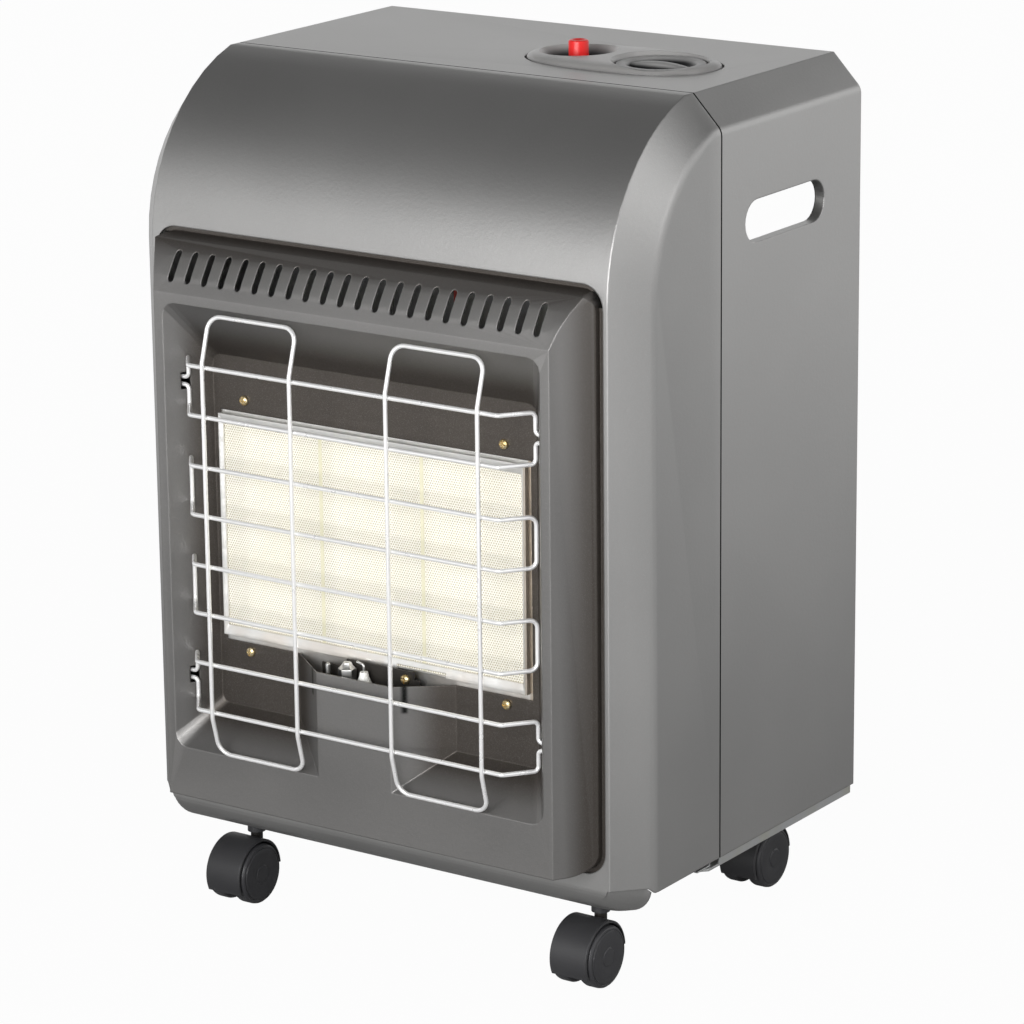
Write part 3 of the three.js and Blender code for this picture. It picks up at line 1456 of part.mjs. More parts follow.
function castor(place_, x, y) {
  const group = new THREE.Group();
  group.position.set(x, y, 0);
  heater.add(group);
  const name = (piece) => `castor_${place_}_${piece}`;
  place(name("stem"), castorStem(), platedSteel, group);
  place(name("hood"), castorHood(), blackPlastic, group);
  place(name("axle"), lyingAcross(axleRadius, -castorTrail, wheelRadius, -axleHalf, axleHalf, 12),
    platedSteel, group);
  place(name("wheel_left"), castorWheel(-1), blackPlastic, group);
  place(name("wheel_right"), castorWheel(1), blackPlastic, group);
}

// ---- assembly -------------------------------------------------------------------------------

place("cabinet_shell", cabinetShell(), powderCoat);
place("front_panel", frontPanel(), powderCoat);
place("base_pan", basePan(), platedSteel);
place("heat_shield", heatShield(), platedSteel);
place("rear_rail", rearRail(), platedSteel);
place("rear_cover", rearCover(), powderCoat);
place("heater_surround", heaterSurround(), surroundCoat);
place("wire_guard", wireGuard(), brightWire);

place("burner_frame", burnerFrame(), platedSteel);
place("burner_housing", burnerHousing(), platedSteel);
["left", "centre", "right"].forEach((side, k) => {
  place(`ceramic_plaque_${side}`, plaque(k), ceramicPlaque);
  place(`injector_${side}`, injector(venturiPlaces[k]), brass);
});
place("gas_manifold", gasManifold(), platedSteel);
place("burner_pipe", burnerPipe(), platedSteel);
for (const [name, x, z] of screwPlaces()) place(name, panScrew(x, -recessProud - fit, z), brass);

place("pilot_bracket", pilotBracket(), platedSteel);
place("pilot_screw", panScrew(pilotScrewX, -plateProud - fit, pilotScrewZ), brass);
place("pilot_burner", pilotBurner(), brightWire);
place("pilot_pipe", pilotPipeRun(), platedSteel);
place("thermocouple", thermocouple(), platedSteel);
place("electrode_insulator", electrodeInsulator(), whiteCeramic);
place("spark_electrode", sparkElectrode(), brightWire);
place("ignition_lead", ignitionLead(), softLead);

place("control_bezel", controlBezel(), greyPlastic);
place("control_knob", controlKnob(), greyPlastic);
place("valve_spindle", valveSpindle(), brass);
place("valve_plug", valvePlug(), brass);
place("gas_valve", gasValve(), brass);
place("valve_bracket", valveBracket(), platedSteel);
place("inlet_hose_tail", inletHoseTail(), brass);
place("igniter_button", igniterButton(), redPlastic);
place("igniter_body", igniterBody(), blackPlastic);

for (const [place_, x, y] of castorPlaces()) castor(place_, x, y);

// The origin is on the floor, under the middle of the heater's whole length and width.
const foremost = guardProud + wire;
heater.position.y = (foremost - cabinetRear) / 2;

export default heater;
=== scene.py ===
import json
import math

import bpy
import bmesh
from mathutils import Matrix, Vector


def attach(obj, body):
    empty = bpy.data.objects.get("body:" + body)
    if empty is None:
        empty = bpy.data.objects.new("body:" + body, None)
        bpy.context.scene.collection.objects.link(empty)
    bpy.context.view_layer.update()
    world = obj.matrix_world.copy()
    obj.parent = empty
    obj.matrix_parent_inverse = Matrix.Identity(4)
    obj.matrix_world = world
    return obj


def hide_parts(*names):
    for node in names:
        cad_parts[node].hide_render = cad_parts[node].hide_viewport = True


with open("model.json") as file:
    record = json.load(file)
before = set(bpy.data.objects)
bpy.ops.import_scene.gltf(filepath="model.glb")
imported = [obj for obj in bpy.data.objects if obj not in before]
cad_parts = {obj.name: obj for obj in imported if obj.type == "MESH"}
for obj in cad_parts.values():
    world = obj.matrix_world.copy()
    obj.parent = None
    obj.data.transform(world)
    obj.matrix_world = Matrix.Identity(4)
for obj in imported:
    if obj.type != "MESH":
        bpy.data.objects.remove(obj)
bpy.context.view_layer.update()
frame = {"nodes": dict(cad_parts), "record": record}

MM = 0.001
FACE = -0.10985  # the cabinet's flat front face
TURN = 2 * math.pi


def at(x, y, z):
    """A point given in millimetres, with the depth measured from the cabinet's front face."""
    return Vector((x * MM, FACE + y * MM, z * MM))


# ---- camera -------------------------------------------------------------------------------

def aim_camera():
    azimuth, height, roll = math.radians(34.55), math.radians(15.9), math.radians(0.62)
    right = Vector((math.cos(azimuth), math.sin(azimuth), 0))
    back = Vector((math.sin(azimuth) * math.cos(height), -math.cos(azimuth) * math.cos(height),
                   math.sin(height)))
    up = back.cross(right)
    across = right * math.cos(roll) - up * math.sin(roll)
    upright = up * math.cos(roll) + right * math.sin(roll)
    place = at(0, 100, 277) + (26.6 * right - 10.85 * up + 2791.78 * back) * MM
    lens = bpy.data.cameras.new("camera")
    lens.sensor_width = 36
    lens.lens = 155.09
    lens.clip_end = 50
    camera = bpy.data.objects.new("camera", lens)
    camera.matrix_world = Matrix((
        (across.x, upright.x, back.x, place.x), (across.y, upright.y, back.y, place.y),
        (across.z, upright.z, back.z, place.z), (0, 0, 0, 1)))
    bpy.context.scene.collection.objects.link(camera)
    bpy.context.scene.camera = camera


# ---- shader sockets as values ---------------------------------------------------------------

class Value:
    """One shader socket; arithmetic on it adds Math nodes."""

    def __init__(self, finish, socket):
        self.finish = finish
        self.socket = socket

    def math(self, operation, *others):
        sockets = dict(enumerate((self, *others)))
        return self.finish.node("ShaderNodeMath", {"operation": operation}, sockets)

    def __add__(self, other):
        return self.math("ADD", other)

    def __mul__(self, other):
        return self.math("MULTIPLY", other)

    def __sub__(self, other):
        return self.math("SUBTRACT", other)

    def __truediv__(self, other):
        return self.math("DIVIDE", other)

    def __rsub__(self, other):
        return (self * -1) + other

    __radd__ = __add__
    __rmul__ = __mul__

    def smooth(self, low, high):
        """0 below low, 1 above high, eased between."""
        return self.finish.node("ShaderNodeMapRange", {"interpolation_type": "SMOOTHSTEP"},
                                {"Value": self, "From Min": low, "From Max": high})

    def repeat(self, pitch):
        """Distance from the middle of each pitch, 0 in the middle and 0.5 at its ends."""
        return ((self / pitch).math("FRACT") - 0.5).math("ABSOLUTE")


class Shading:
    """The nodes of one material or world."""

    def __init__(self, tree):
        self.tree = tree

    def node(self, kind, settings, sockets, output=0):
        made = self.tree.nodes.new(kind)
        for key, value in settings.items():
            if key == "stops":
                self.set_stops(made.color_ramp, value)
            else:
                setattr(made, key, value)
        for key, value in sockets.items():
            self.feed(made.inputs[key], value)
        return Value(self, made.outputs[output]) if made.outputs else made

    def feed(self, socket, value):
        if isinstance(value, Value):
            self.tree.links.new(value.socket, socket)
        else:
            socket.default_value = value

    @staticmethod
    def set_stops(ramp, stops):
        while len(ramp.elements) < len(stops):
            ramp.elements.new(0.5)
        for element, (position, colour) in zip(ramp.elements, stops):
            element.position = position
            element.color = (*colour, 1)


class Finish(Shading):
    """A material built on one Principled shader."""

    def __init__(self, name, **constants):
        self.material = bpy.data.materials.new(name)
        self.material.use_nodes = True
        super().__init__(self.material.node_tree)
        self.shader = self.tree.nodes["Principled BSDF"]
        for key, value in constants.items():
            self.shader.inputs[key.replace("_", " ")].default_value = value
        self.coordinates = self.node("ShaderNodeTexCoord", {}, {}, "Object")

    def noise(self, scale, detail=2.0, stretch=None):
        place = self.coordinates
        if stretch:
            place = self.node("ShaderNodeVectorMath", {"operation": "MULTIPLY"},
                              {0: place, 1: stretch})
        return self.node("ShaderNodeTexNoise", {}, {
            "Vector": place, "Scale": scale, "Detail": detail}, "Fac")

    def blend(self, factor, first, second):
        """A colour mix; each colour is a tuple or another mix."""
        pair = [(*c, 1) if isinstance(c, tuple) else c for c in (first, second)]
        return self.node("ShaderNodeMix", {"data_type": "RGBA"},
                         {0: factor, 6: pair[0], 7: pair[1]}, 2)

    def axes(self):
        return [self.node("ShaderNodeSeparateXYZ", {}, {0: self.coordinates}, k) for k in range(3)]

    def soft_edges(self, radius):
        """The normal of a pressed or moulded edge, rounded to a radius."""
        return self.node("ShaderNodeBevel", {"samples": 6}, {"Radius": radius})

    def relief(self, height, distance, strength=1.0, normal=None):
        sockets = {"Height": height, "Distance": distance, "Strength": strength}
        if normal:
            sockets["Normal"] = normal
        return self.node("ShaderNodeBump", {}, sockets)

    def set(self, **links):
        for key, value in links.items():
            self.feed(self.shader.inputs[key.replace("_", " ")], value)
        return self


def proud_edges(finish, low=0.53, high=0.62):
    """Where an edge stands proud; the finishes mix a paler colour in there."""
    point = finish.node("ShaderNodeNewGeometry", {}, {}, "Pointiness")
    return point.smooth(low, high)


# ---- finishes --------------------------------------------------------------------------------

def powder_coat(name, colour, light, roughness, fold, metallic=0.55, recess_shade=None, seam=None):
    """Fine metallic powder coat: an orange-peel skin with a grain of pale flakes.

    The optional recess colour is painted shade, mixed in deep in the recess, and the pilot's well
    there is painted near-black, also painted shade. seam is the depth of a joint painted near-black,
    painted shade for the gap at the joint.
    """
    coat = Finish(name, Metallic=metallic, IOR=1.5)
    grain = coat.noise(1700, 3)
    peel = coat.noise(420, 2)
    cloud = coat.noise(9, 2)
    flakes = coat.noise(2600, 1).smooth(0.55, 0.72)
    tone = coat.blend(cloud.smooth(0.3, 0.7), colour, light)
    if recess_shade:
        across, deep, up = coat.axes()
        # painted shade: a darker, browner colour deep in the recess
        tone = coat.blend(deep.smooth(-0.134, -0.117), tone, recess_shade)
        # painted shade: the pilot's well near-black
        well = 1 - across.math("ABSOLUTE").smooth(0.0355, 0.0375)
        well = well * (1 - (up - 0.184).math("ABSOLUTE").smooth(0.0105, 0.0125))
        tone = coat.blend(well * deep.smooth(-0.1345, -0.1325), tone, (0.010, 0.010, 0.010))
    tone = coat.blend(flakes * 0.22, tone, tuple(min(1, c * 1.6) for c in light))
    tone = coat.blend(proud_edges(coat) * 0.35, tone, tuple(min(1, c * 1.5) for c in light))
    if seam:
        # painted shade: the joint near-black for the shadow in its gap
        joint = 1 - (coat.axes()[1] - seam).math("ABSOLUTE").smooth(0.0006, 0.0009)
        tone = coat.blend(joint, tone, (0.004, 0.004, 0.004))
    skin = coat.relief(grain * 0.6 + peel * 0.9, 0.00016, 0.5, coat.soft_edges(fold))
    return coat.set(Base_Color=tone, Roughness=roughness + grain * 0.1 + cloud * 0.05,
                    Normal=skin).material


def plated(name, colour, roughness, scratch=0.05, tint=None):
    """Rolled and plated sheet: faint draw lines, a mottled tint and soft handling marks."""
    metal = Finish(name, Metallic=1.0)
    rolled = metal.noise(260, 3, (1, 1, 0.06))
    mottle = metal.noise(38, 3)
    second = tint or tuple(c * 0.86 for c in colour)
    tone = metal.blend(mottle.smooth(0.35, 0.75), colour, second)
    lines = metal.relief(rolled, 0.00008, 0.35, metal.soft_edges(0.0005))
    return metal.set(Base_Color=tone, Roughness=roughness + rolled * scratch + mottle * 0.08,
                     Normal=lines).material


def bright_wire():
    """Chromed wire with the long waves of a drawn and bent rod."""
    metal = Finish("chromed_wire", Metallic=0.5)
    wave = metal.noise(90, 2)
    specks = metal.noise(900, 2).smooth(0.66, 0.74)
    tone = metal.blend(specks * 0.2, (0.97, 0.97, 0.97), (0.80, 0.79, 0.77))
    return metal.set(Base_Color=tone, Roughness=0.24 + wave * 0.1,
                     Normal=metal.relief(wave, 0.0001, 0.12)).material


def burner_sheet():
    """Bright burner frame: creased in rolling, with painted reflections: beige-pink patches low down and a
    tan right side.
    """
    metal = Finish("burner_sheet", Metallic=0.85)
    waves = metal.noise(55, 3, (1, 1, 2.2))
    creases = metal.noise(160, 2, (1, 1, 0.3))
    across, _, up = metal.axes()
    # painted reflection: the lower part tinted beige-pink in patches
    lower_reflection = (1 - up.smooth(0.196, 0.215)) * metal.noise(30, 2).smooth(0.4, 0.62)
    tone = metal.blend(lower_reflection * 0.5, (0.97, 0.965, 0.94), (0.86, 0.76, 0.66))
    # painted reflection: the right side tinted tan
    side = across.smooth(0.1135, 0.1150)
    tone = metal.blend(side * 0.6, tone, (0.62, 0.50, 0.36))
    return metal.set(Base_Color=tone, Roughness=0.24 + creases * 0.16,
                     Normal=metal.relief(waves + creases * 0.4, 0.0009, 0.55,
                                         metal.soft_edges(0.0006))).material


def perforated_plaque():
    """Cream ceramic with a staggered field of fine holes and plain bands at its joints; the bands and the
    holes are painted darker, painted shade.
    """
    clay = Finish("perforated_ceramic", Specular_IOR_Level=0.25)
    across, _, up = clay.axes()
    pitch = 0.00178
    rows = pitch * math.sqrt(3)
    first = lattice(across, up, pitch, rows, 0)
    second = lattice(across, up, pitch, rows, 0.5)
    holes = first.math("MAXIMUM", second)
    third = 0.0384
    seam = (across.math("ABSOLUTE") - third).math("ABSOLUTE")
    band = 1 - seam.smooth(0.0007, 0.0019)
    holes = holes * (1 - band)
    kiln = clay.noise(26, 3)
    dust = clay.noise(700, 2)
    tone = clay.blend(kiln.smooth(0.3, 0.75), (0.93, 0.905, 0.80), (0.95, 0.93, 0.85))
    # painted shade: the joint bands darker
    tone = clay.blend(band * 0.8, tone, (0.78, 0.74, 0.58))
    # painted shade: the holes coloured dark for the shade inside them
    tone = clay.blend(holes * 0.9, tone, (0.46, 0.40, 0.26))
    depth = (1 - holes) * 1.0 + dust * 0.06
    return clay.set(Base_Color=tone, Roughness=0.82 + dust * 0.12,
                    Normal=clay.relief(depth, 0.0005, 0.35)).material


def lattice(across, up, pitch, rows, shift):
    """Round holes on one of the two rectangular grids that make a staggered field."""
    from_x = (across + (1 + shift * pitch)).repeat(pitch) * pitch
    from_z = (up + (1 + shift * rows)).repeat(rows) * rows
    distance = (from_x * from_x + from_z * from_z).math("SQRT")
    return 1 - distance.smooth(0.00036, 0.00062)


def glazed():
    glaze = Finish("glazed_insulator", Coat_Weight=0.6, Coat_Roughness=0.08)
    pits = glaze.noise(800, 2)
    tone = glaze.blend(pits.smooth(0.62, 0.75) * 0.4, (0.93, 0.93, 0.90), (0.70, 0.66, 0.58))
    return glaze.set(Base_Color=tone, Roughness=0.28 + pits * 0.1,
                     Normal=glaze.relief(pits, 0.0001, 0.2)).material


def turned_brass(name, colour=(0.80, 0.60, 0.27)):
    """Machined brass with tool rings and a passivated, slightly green-gold mottle."""
    metal = Finish(name, Metallic=1.0)
    rings = metal.noise(900, 2, (0.15, 1, 1))
    mottle = metal.noise(240, 3)
    tone = metal.blend(mottle.smooth(0.35, 0.7), colour, (0.86, 0.76, 0.52))
    return metal.set(Base_Color=tone, Roughness=0.24 + mottle * 0.2,
                     Normal=metal.relief(rings, 0.00012, 0.3, metal.soft_edges(0.0003))).material


def moulded(name, colour, roughness, texture=0.5, gloss=0.0, edge=0.0006, bowl_shade_heights=None):
    """Moulded plastic: a spark-eroded grain, a slow tone drift and paler edges where they stand proud.

    The optional pair of heights marks where the plastic darkens down into a bowl: painted shade.
    """
    plastic = Finish(name, Coat_Weight=gloss, Coat_Roughness=0.12, IOR=1.49)
    grain = plastic.noise(1500, 3)
    drift = plastic.noise(14, 2)
    lighter = tuple(min(1.0, c * 1.3 + 0.01) for c in colour)
    tone = plastic.blend(drift.smooth(0.3, 0.75), colour, lighter)
    tone = plastic.blend(proud_edges(plastic) * 0.3, tone, tuple(min(1, c * 1.6 + 0.03) for c in colour))
    # painted shade: near-black down into the bowl
    if bowl_shade_heights:
        tone = plastic.blend(1 - plastic.axes()[2].smooth(*bowl_shade_heights), tone, (0.012, 0.012, 0.013))
    return plastic.set(Base_Color=tone, Roughness=roughness + grain * 0.14,
                       Normal=plastic.relief(grain, 0.0001, texture,
                                             plastic.soft_edges(edge))).material


def make_finishes():
    # seam marks the joint painted near-black, painted shade
    cabinet = powder_coat("cabinet_powder_coat", (0.355, 0.352, 0.348), (0.385, 0.382, 0.377),
                          0.34, 0.0012, 0.90, seam=-0.0154)
    # the last colour is painted shade for deep in the recess
    surround = powder_coat("surround_powder_coat", (0.225, 0.221, 0.217), (0.246, 0.241, 0.236),
                           0.36, 0.0011, 0.85, (0.100, 0.088, 0.078))
    return {
        "cabinet_paint": cabinet,
        "surround_paint": surround,
        "zinc_steel": plated("zinc_plated_sheet", (0.70, 0.71, 0.72), 0.32, 0.12,
                             (0.66, 0.66, 0.60)),
        "stainless_steel": plated("stainless_sheet", (0.82, 0.82, 0.81), 0.22),
        "guard_wire": bright_wire(),
        "plaque_ceramic": perforated_plaque(),
        "white_ceramic": glazed(),
        "brass": turned_brass("passivated_brass"),
        # the plate darkens into its dial and button bowls, painted shade
        "grey_plastic": moulded("control_plate_plastic", (0.290, 0.285, 0.280), 0.30, 0.3,
                                0.1, bowl_shade_heights=(0.5490, 0.5550)),
        # painted shade: a near-black finish for the pilot bracket in its shaded well and the castor stems
        # under the cabinet
        "blackened_steel": powder_coat("near_black_shade_steel", (0.030, 0.028, 0.026),
                                       (0.040, 0.036, 0.032), 0.32, 0.0008, 0.5),
        "black_plastic": moulded("castor_plastic", (0.021, 0.021, 0.023), 0.42, 0.5),
        "red_plastic": moulded("button_plastic", (0.70, 0.004, 0.003), 0.30, 0.2, 0.1),
        "silicone_sleeve": moulded("silicone_sleeve", (0.30, 0.03, 0.02), 0.5, 0.5),
        "burner_sheet": burner_sheet(),
    }


# ---- carried-over solids -----------------------------------------------------------------------

def rounding_group():
    """Shades curved walls smooth and keeps folds and cut edges sharp."""
    tree = bpy.data.node_groups.new("smooth_curved_walls", "GeometryNodeTree")
    tree.interface.new_socket("Geometry", in_out="INPUT", socket_type="NodeSocketGeometry")
    tree.interface.new_socket("Geometry", in_out="OUTPUT", socket_type="NodeSocketGeometry")
    start = tree.nodes.new("NodeGroupInput")
    end = tree.nodes.new("NodeGroupOutput")
    bare = tree.nodes.new("GeometryNodeRemoveAttribute")
    bare.inputs["Name"].default_value = "custom_normal"
    merge = tree.nodes.new("GeometryNodeMergeByDistance")
    merge.inputs["Distance"].default_value = 2e-6
    smooth = tree.nodes.new("GeometryNodeSetShadeSmooth")
    sharp = tree.nodes.new("GeometryNodeSetShadeSmooth")
    sharp.domain = "EDGE"
    sharp.inputs["Shade Smooth"].default_value = False
    angle = tree.nodes.new("GeometryNodeInputMeshEdgeAngle")
    compare = tree.nodes.new("FunctionNodeCompare")
    compare.operation = "GREATER_THAN"
    compare.inputs[1].default_value = math.radians(24)
    link = tree.links.new
    link(start.outputs[0], bare.inputs["Geometry"])
    link(bare.outputs[0], merge.inputs["Geometry"])
    link(merge.outputs[0], smooth.inputs["Geometry"])
    link(angle.outputs["Unsigned Angle"], compare.inputs[0])
    link(compare.outputs[0], sharp.inputs["Selection"])
    link(smooth.outputs[0], sharp.inputs["Geometry"])
    link(sharp.outputs[0], end.inputs[0])
    return tree


STEMS = ["castor_" + place + "_stem"
         for place in ("front_left", "front_right", "rear_left", "rear_right")]
# the castor stems take the near-black finish: painted shade under the cabinet
SPECIAL = {"burner_frame": "burner_sheet", **dict.fromkeys(STEMS, "blackened_steel")}


def dress_nodes(finishes):
    group = rounding_group()
    slots = {part["node"]: part["material_slot"] for part in frame["record"]["subparts"]}
    for name, node in frame["nodes"].items():
        node.data.materials.clear()
        node.data.materials.append(finishes[SPECIAL.get(name, slots[name])])
        curved = node.modifiers.new("smooth_curved_walls", "NODES")
        curved.node_group = group
        flat = node.modifiers.new("flat_faces_stay_flat", "WEIGHTED_NORMAL")
        flat.keep_sharp = True


# ---- mesh makers ----------------------------------------------------------------------------------

def piece(name, mesh, body, slot, finishes, material=None, angle=30):
    """Finishes a bmesh as a named piece riding on a body."""
    bmesh.ops.recalc_face_normals(mesh, faces=mesh.faces)
    for face in mesh.faces:
        face.smooth = True
    for edge in mesh.edges:
        if len(edge.link_faces) == 2:
            edge.smooth = edge.calc_face_angle(0) < math.radians(angle)
    data = bpy.data.meshes.new(name)
    mesh.to_mesh(data)
    mesh.free()
    data.materials.append(finishes[material or slot])
    made = bpy.data.objects.new(name, data)
    bpy.context.scene.collection.objects.link(made)
    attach(made, body)
    return made


def lathe(mesh, profile, origin, axis, segments=64):
    """Turns [radius, height] pairs, in mm, about an axis through origin."""
    along = Vector(axis).normalized()
    side = along.orthogonal().normalized()
    other = along.cross(side)
    rings = []
    for radius, height in profile:
        if radius < 1e-6:
            rings.append([mesh.verts.new(origin + along * height * MM)])
            continue
        rings.append([mesh.verts.new(origin + along * height * MM + radius * MM * (
            side * math.cos(TURN * k / segments) + other * math.sin(TURN * k / segments)))
            for k in range(segments)])
    for low, high in zip(rings, rings[1:]):
        for k in range(segments):
            n = (k + 1) % segments
            if len(low) == 1 and len(high) == 1:
                break
            if len(low) == 1:
                mesh.faces.new((low[0], high[n], high[k]))
            elif len(high) == 1:
                mesh.faces.new((low[k], low[n], high[0]))
            else:
                mesh.faces.new((low[k], low[n], high[n], high[k]))


def bend_points(before, corner, after, radius, steps):
    """The arc that rounds one corner of a wire."""
    inward = (before - corner).normalized()
    outward = (after - corner).normalized()
    half = inward.angle(outward) / 2
    reach = min(radius / math.tan(half), (before - corner).length * 0.49,
                (after - corner).length * 0.49)
    radius = reach * math.tan(half)
    centre = corner + (inward + outward).normalized() * (radius / math.sin(half))
    axis = inward.cross(outward).normalized() * -1
    spoke = corner + inward * reach - centre
    sweep = math.pi - 2 * half
    return [centre + Matrix.Rotation(sweep * k / steps, 3, axis) @ spoke for k in range(steps + 1)]


def wire_route(corners, radius, closed=False, steps=7):
    points = []
    count = len(corners)
    for k, corner in enumerate(corners):
        if not closed and k in (0, count - 1):
            points.append(corner)
        else:
            points += bend_points(corners[k - 1], corner, corners[(k + 1) % count],
                                  radius * MM, steps)
    return points


def sweep_wire(mesh, route, radius, closed=False, sides=14):
    """A round wire along a route, its section carried without twist and mitred at bends."""
    count = len(route)
    rings = []
    side = None
    for k, point in enumerate(route):
        before = route[k - 1] if closed or k else point - (route[1] - point)
        after = route[(k + 1) % count] if closed or k + 1 < count else point + (point - route[k - 1])
        along = ((point - before).normalized() + (after - point).normalized()).normalized()
        if side is None:
            side = along.orthogonal()
        side = (side - along * side.dot(along)).normalized()
        other = along.cross(side)
        rings.append([mesh.verts.new(point + radius * MM * (
            side * math.cos(TURN * n / sides) + other * math.sin(TURN * n / sides)))
            for n in range(sides)])
    pairs = list(zip(rings, rings[1:]))
    for low, high in pairs:
        for n in range(sides):
            m = (n + 1) % sides
            mesh.faces.new((low[n], low[m], high[m], high[n]))
    if closed:
        low, high = rings[-1], rings[0]
        shift = min(range(sides), key=lambda n: (low[0].co - high[n].co).length)
        for n in range(sides):
            m = (n + 1) % sides
            mesh.faces.new((low[n], low[m], high[(m + shift) % sides], high[(n + shift) % sides]))
    else:
        for end, flip in ((rings[0], True), (rings[-1], False)):
            mesh.faces.new(end[::-1] if flip else end)


# ---- guard ------------------------------------------------------------------------------------------

GUARD_WIRE = 1.41
GUARD_FRONT = -37.9
LOOP_BEND = 378  # above this the loops lean back
LOOP_SIDES = (36, 103)
CROSSING = 2 * 1.5 - 0.4  # the cross bars lie this far behind the loops
HOOPS = [151.5 + 64 * k for k in range(4)]
HOOP_HIGH = 31.6
HOOP_END = 130.4
HOOP_END_FRONT = -17


def guard_loop(mesh, side):
    inner, outer = (side * x for x in LOOP_SIDES)
    levels = [(GUARD_FRONT, 149), (GUARD_FRONT, LOOP_BEND), (-29.3, 407)]
    foot = (-31.5, 124)
    corners = [(inner, *level) for level in levels] + [(outer, *level) for level in reversed(levels)]
    corners += [(outer, *foot), (inner, *foot)]
    sweep_wire(mesh, wire_route([at(*c) for c in corners], 9, True), GUARD_WIRE, True)


def guard_hoop(mesh, low):
    front = GUARD_FRONT + CROSSING
    high = low + HOOP_HIGH
    corners = [(-116, front, low), (116, front, low), (HOOP_END, HOOP_END_FRONT, low),
               (HOOP_END, HOOP_END_FRONT, high), (116, front, high), (-116, front, high),
               (-HOOP_END, HOOP_END_FRONT, high), (-HOOP_END, HOOP_END_FRONT, low)]
    sweep_wire(mesh, wire_route([at(*c) for c in corners], 5, True), GUARD_WIRE, True)


def hooked_bar(mesh, level, towards):
    front = GUARD_FRONT + CROSSING
    tip = level + towards * (HOOP_HIGH / 2 - 2.5)
    reach = HOOP_END + 6
    corners = [(-reach, tip), (-HOOP_END, tip), (-HOOP_END, level)]
    ends = [at(x, HOOP_END_FRONT, z) for x, z in corners]
    middle = [at(-116, front, level), at(116, front, level)]
    mirrored = [at(-x, HOOP_END_FRONT, z) for x, z in reversed(corners)]
    sweep_wire(mesh, wire_route(ends + middle + mirrored, 3.2), GUARD_WIRE)


def crossing_weld(mesh, x, level):
    """The small flattened bead where two wires are spot welded."""
    middle = at(x, GUARD_FRONT + CROSSING / 2, level)
    lathe(mesh, [(0, -1.5), (1.3, -1.1), (1.75, 0), (1.3, 1.1), (0, 1.5)], middle, (0, 1, 0), 14)


def make_guard(finishes):
    mesh = bmesh.new()
    for side in (-1, 1):
        guard_loop(mesh, side)
    for low in HOOPS[1:-1]:
        guard_hoop(mesh, low)
    for low in (HOOPS[0], HOOPS[-1]):
        hooked_bar(mesh, low, 1)
        hooked_bar(mesh, low + HOOP_HIGH, -1)
    for low in HOOPS:
        for level in (low, low + HOOP_HIGH):
            if level < LOOP_BEND:
                for x in [side * x for side in (-1, 1) for x in LOOP_SIDES]:
                    crossing_weld(mesh, x, level)
    guard = piece("welded_wire_guard", mesh, "cabinet", "guard_wire", finishes, angle=50)
    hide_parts("wire_guard")


# ---- plaque joints --------------------------------------------------------------------------------------

def make_joint_shade_strips(finishes):
    """Narrow darker strips in the two joints between the plaques: painted shade for the shadow in the
    joints.
    """
    mesh = bmesh.new()
    for side in (-1, 1):
        low, high = at(side * 38.3 - 1.15, -5.32, 195.8), at(side * 38.3 + 1.15, -4.9, 337.1)
        corners = [mesh.verts.new((x, y, z)) for x in (low.x, high.x) for y in (low.y, high.y)
                   for z in (low.z, high.z)]
        for ring in ((0, 1, 3, 2), (4, 6, 7, 5), (0, 4, 5, 1), (2, 3, 7, 6), (0, 2, 6, 4), (1, 5, 7, 3)):
            mesh.faces.new([corners[k] for k in ring])
    piece("plaque_joint_shade_strips", mesh, "cabinet", "plaque_ceramic", finishes, "joint_shade")


# ---- castors ------------------------------------------------------------------------------------------

WHEEL = 20
TRAIL = 15  # the axle lies this far in front of the swivel
HOOD_ARC = (4, 205)  # degrees, from the rear over the top
HOOD_RADII = (21.2, 22.8)
HOOD_HALF = 13.6
WEB_RADIUS = 22.0
WEB_HALF = 3.6
CASTORS = {"front_left": (-134.5, 44), "front_right": (134.5, 44),
           "rear_left": (-130, 250), "rear_right": (130, 250)}


def arc_shell(mesh, origin, inner, outer, start, end, half, steps=48):
    """The hood's curved cover over both wheels, its long edges eased."""
    ease = 0.7
    section = [(-half, inner), (-half, outer - ease), (-half + ease, outer),
               (half - ease, outer), (half, outer - ease), (half, inner)]
    rings = []
    for k in range(steps + 1):
        angle = math.radians(start + (end - start) * k / steps)
        rings.append([mesh.verts.new(origin + Vector((
            x * MM, r * MM * math.cos(angle), r * MM * math.sin(angle)))) for x, r in section])
    count = len(section)
    for low, high in zip(rings, rings[1:]):
        for n in range(count):
            m = (n + 1) % count
            mesh.faces.new((low[n], low[m], high[m], high[n]))
    mesh.faces.new(rings[0][::-1])
    mesh.faces.new(rings[-1])


def web_plate(mesh, origin, radius, start, end, half, steps=40):
    """The flat web between the two wheels, which carries the axle."""
    outline = [(radius * math.cos(math.radians(start + (end - start) * k / steps)),
                radius * math.sin(math.radians(start + (end - start) * k / steps)))
               for k in range(steps + 1)] + [(-2.5, -6.5), (2.5, -6.5)]
    faces = []
    for x in (-half, half):
        faces.append([mesh.verts.new(origin + Vector((x * MM, y * MM, z * MM)))
                      for y, z in outline])
    mesh.faces.new(faces[0])
    mesh.faces.new(faces[1][::-1])
    for k in range(len(outline)):
        n = (k + 1) % len(outline)
        mesh.faces.new((faces[0][k], faces[1][k], faces[1][n], faces[0][n]))


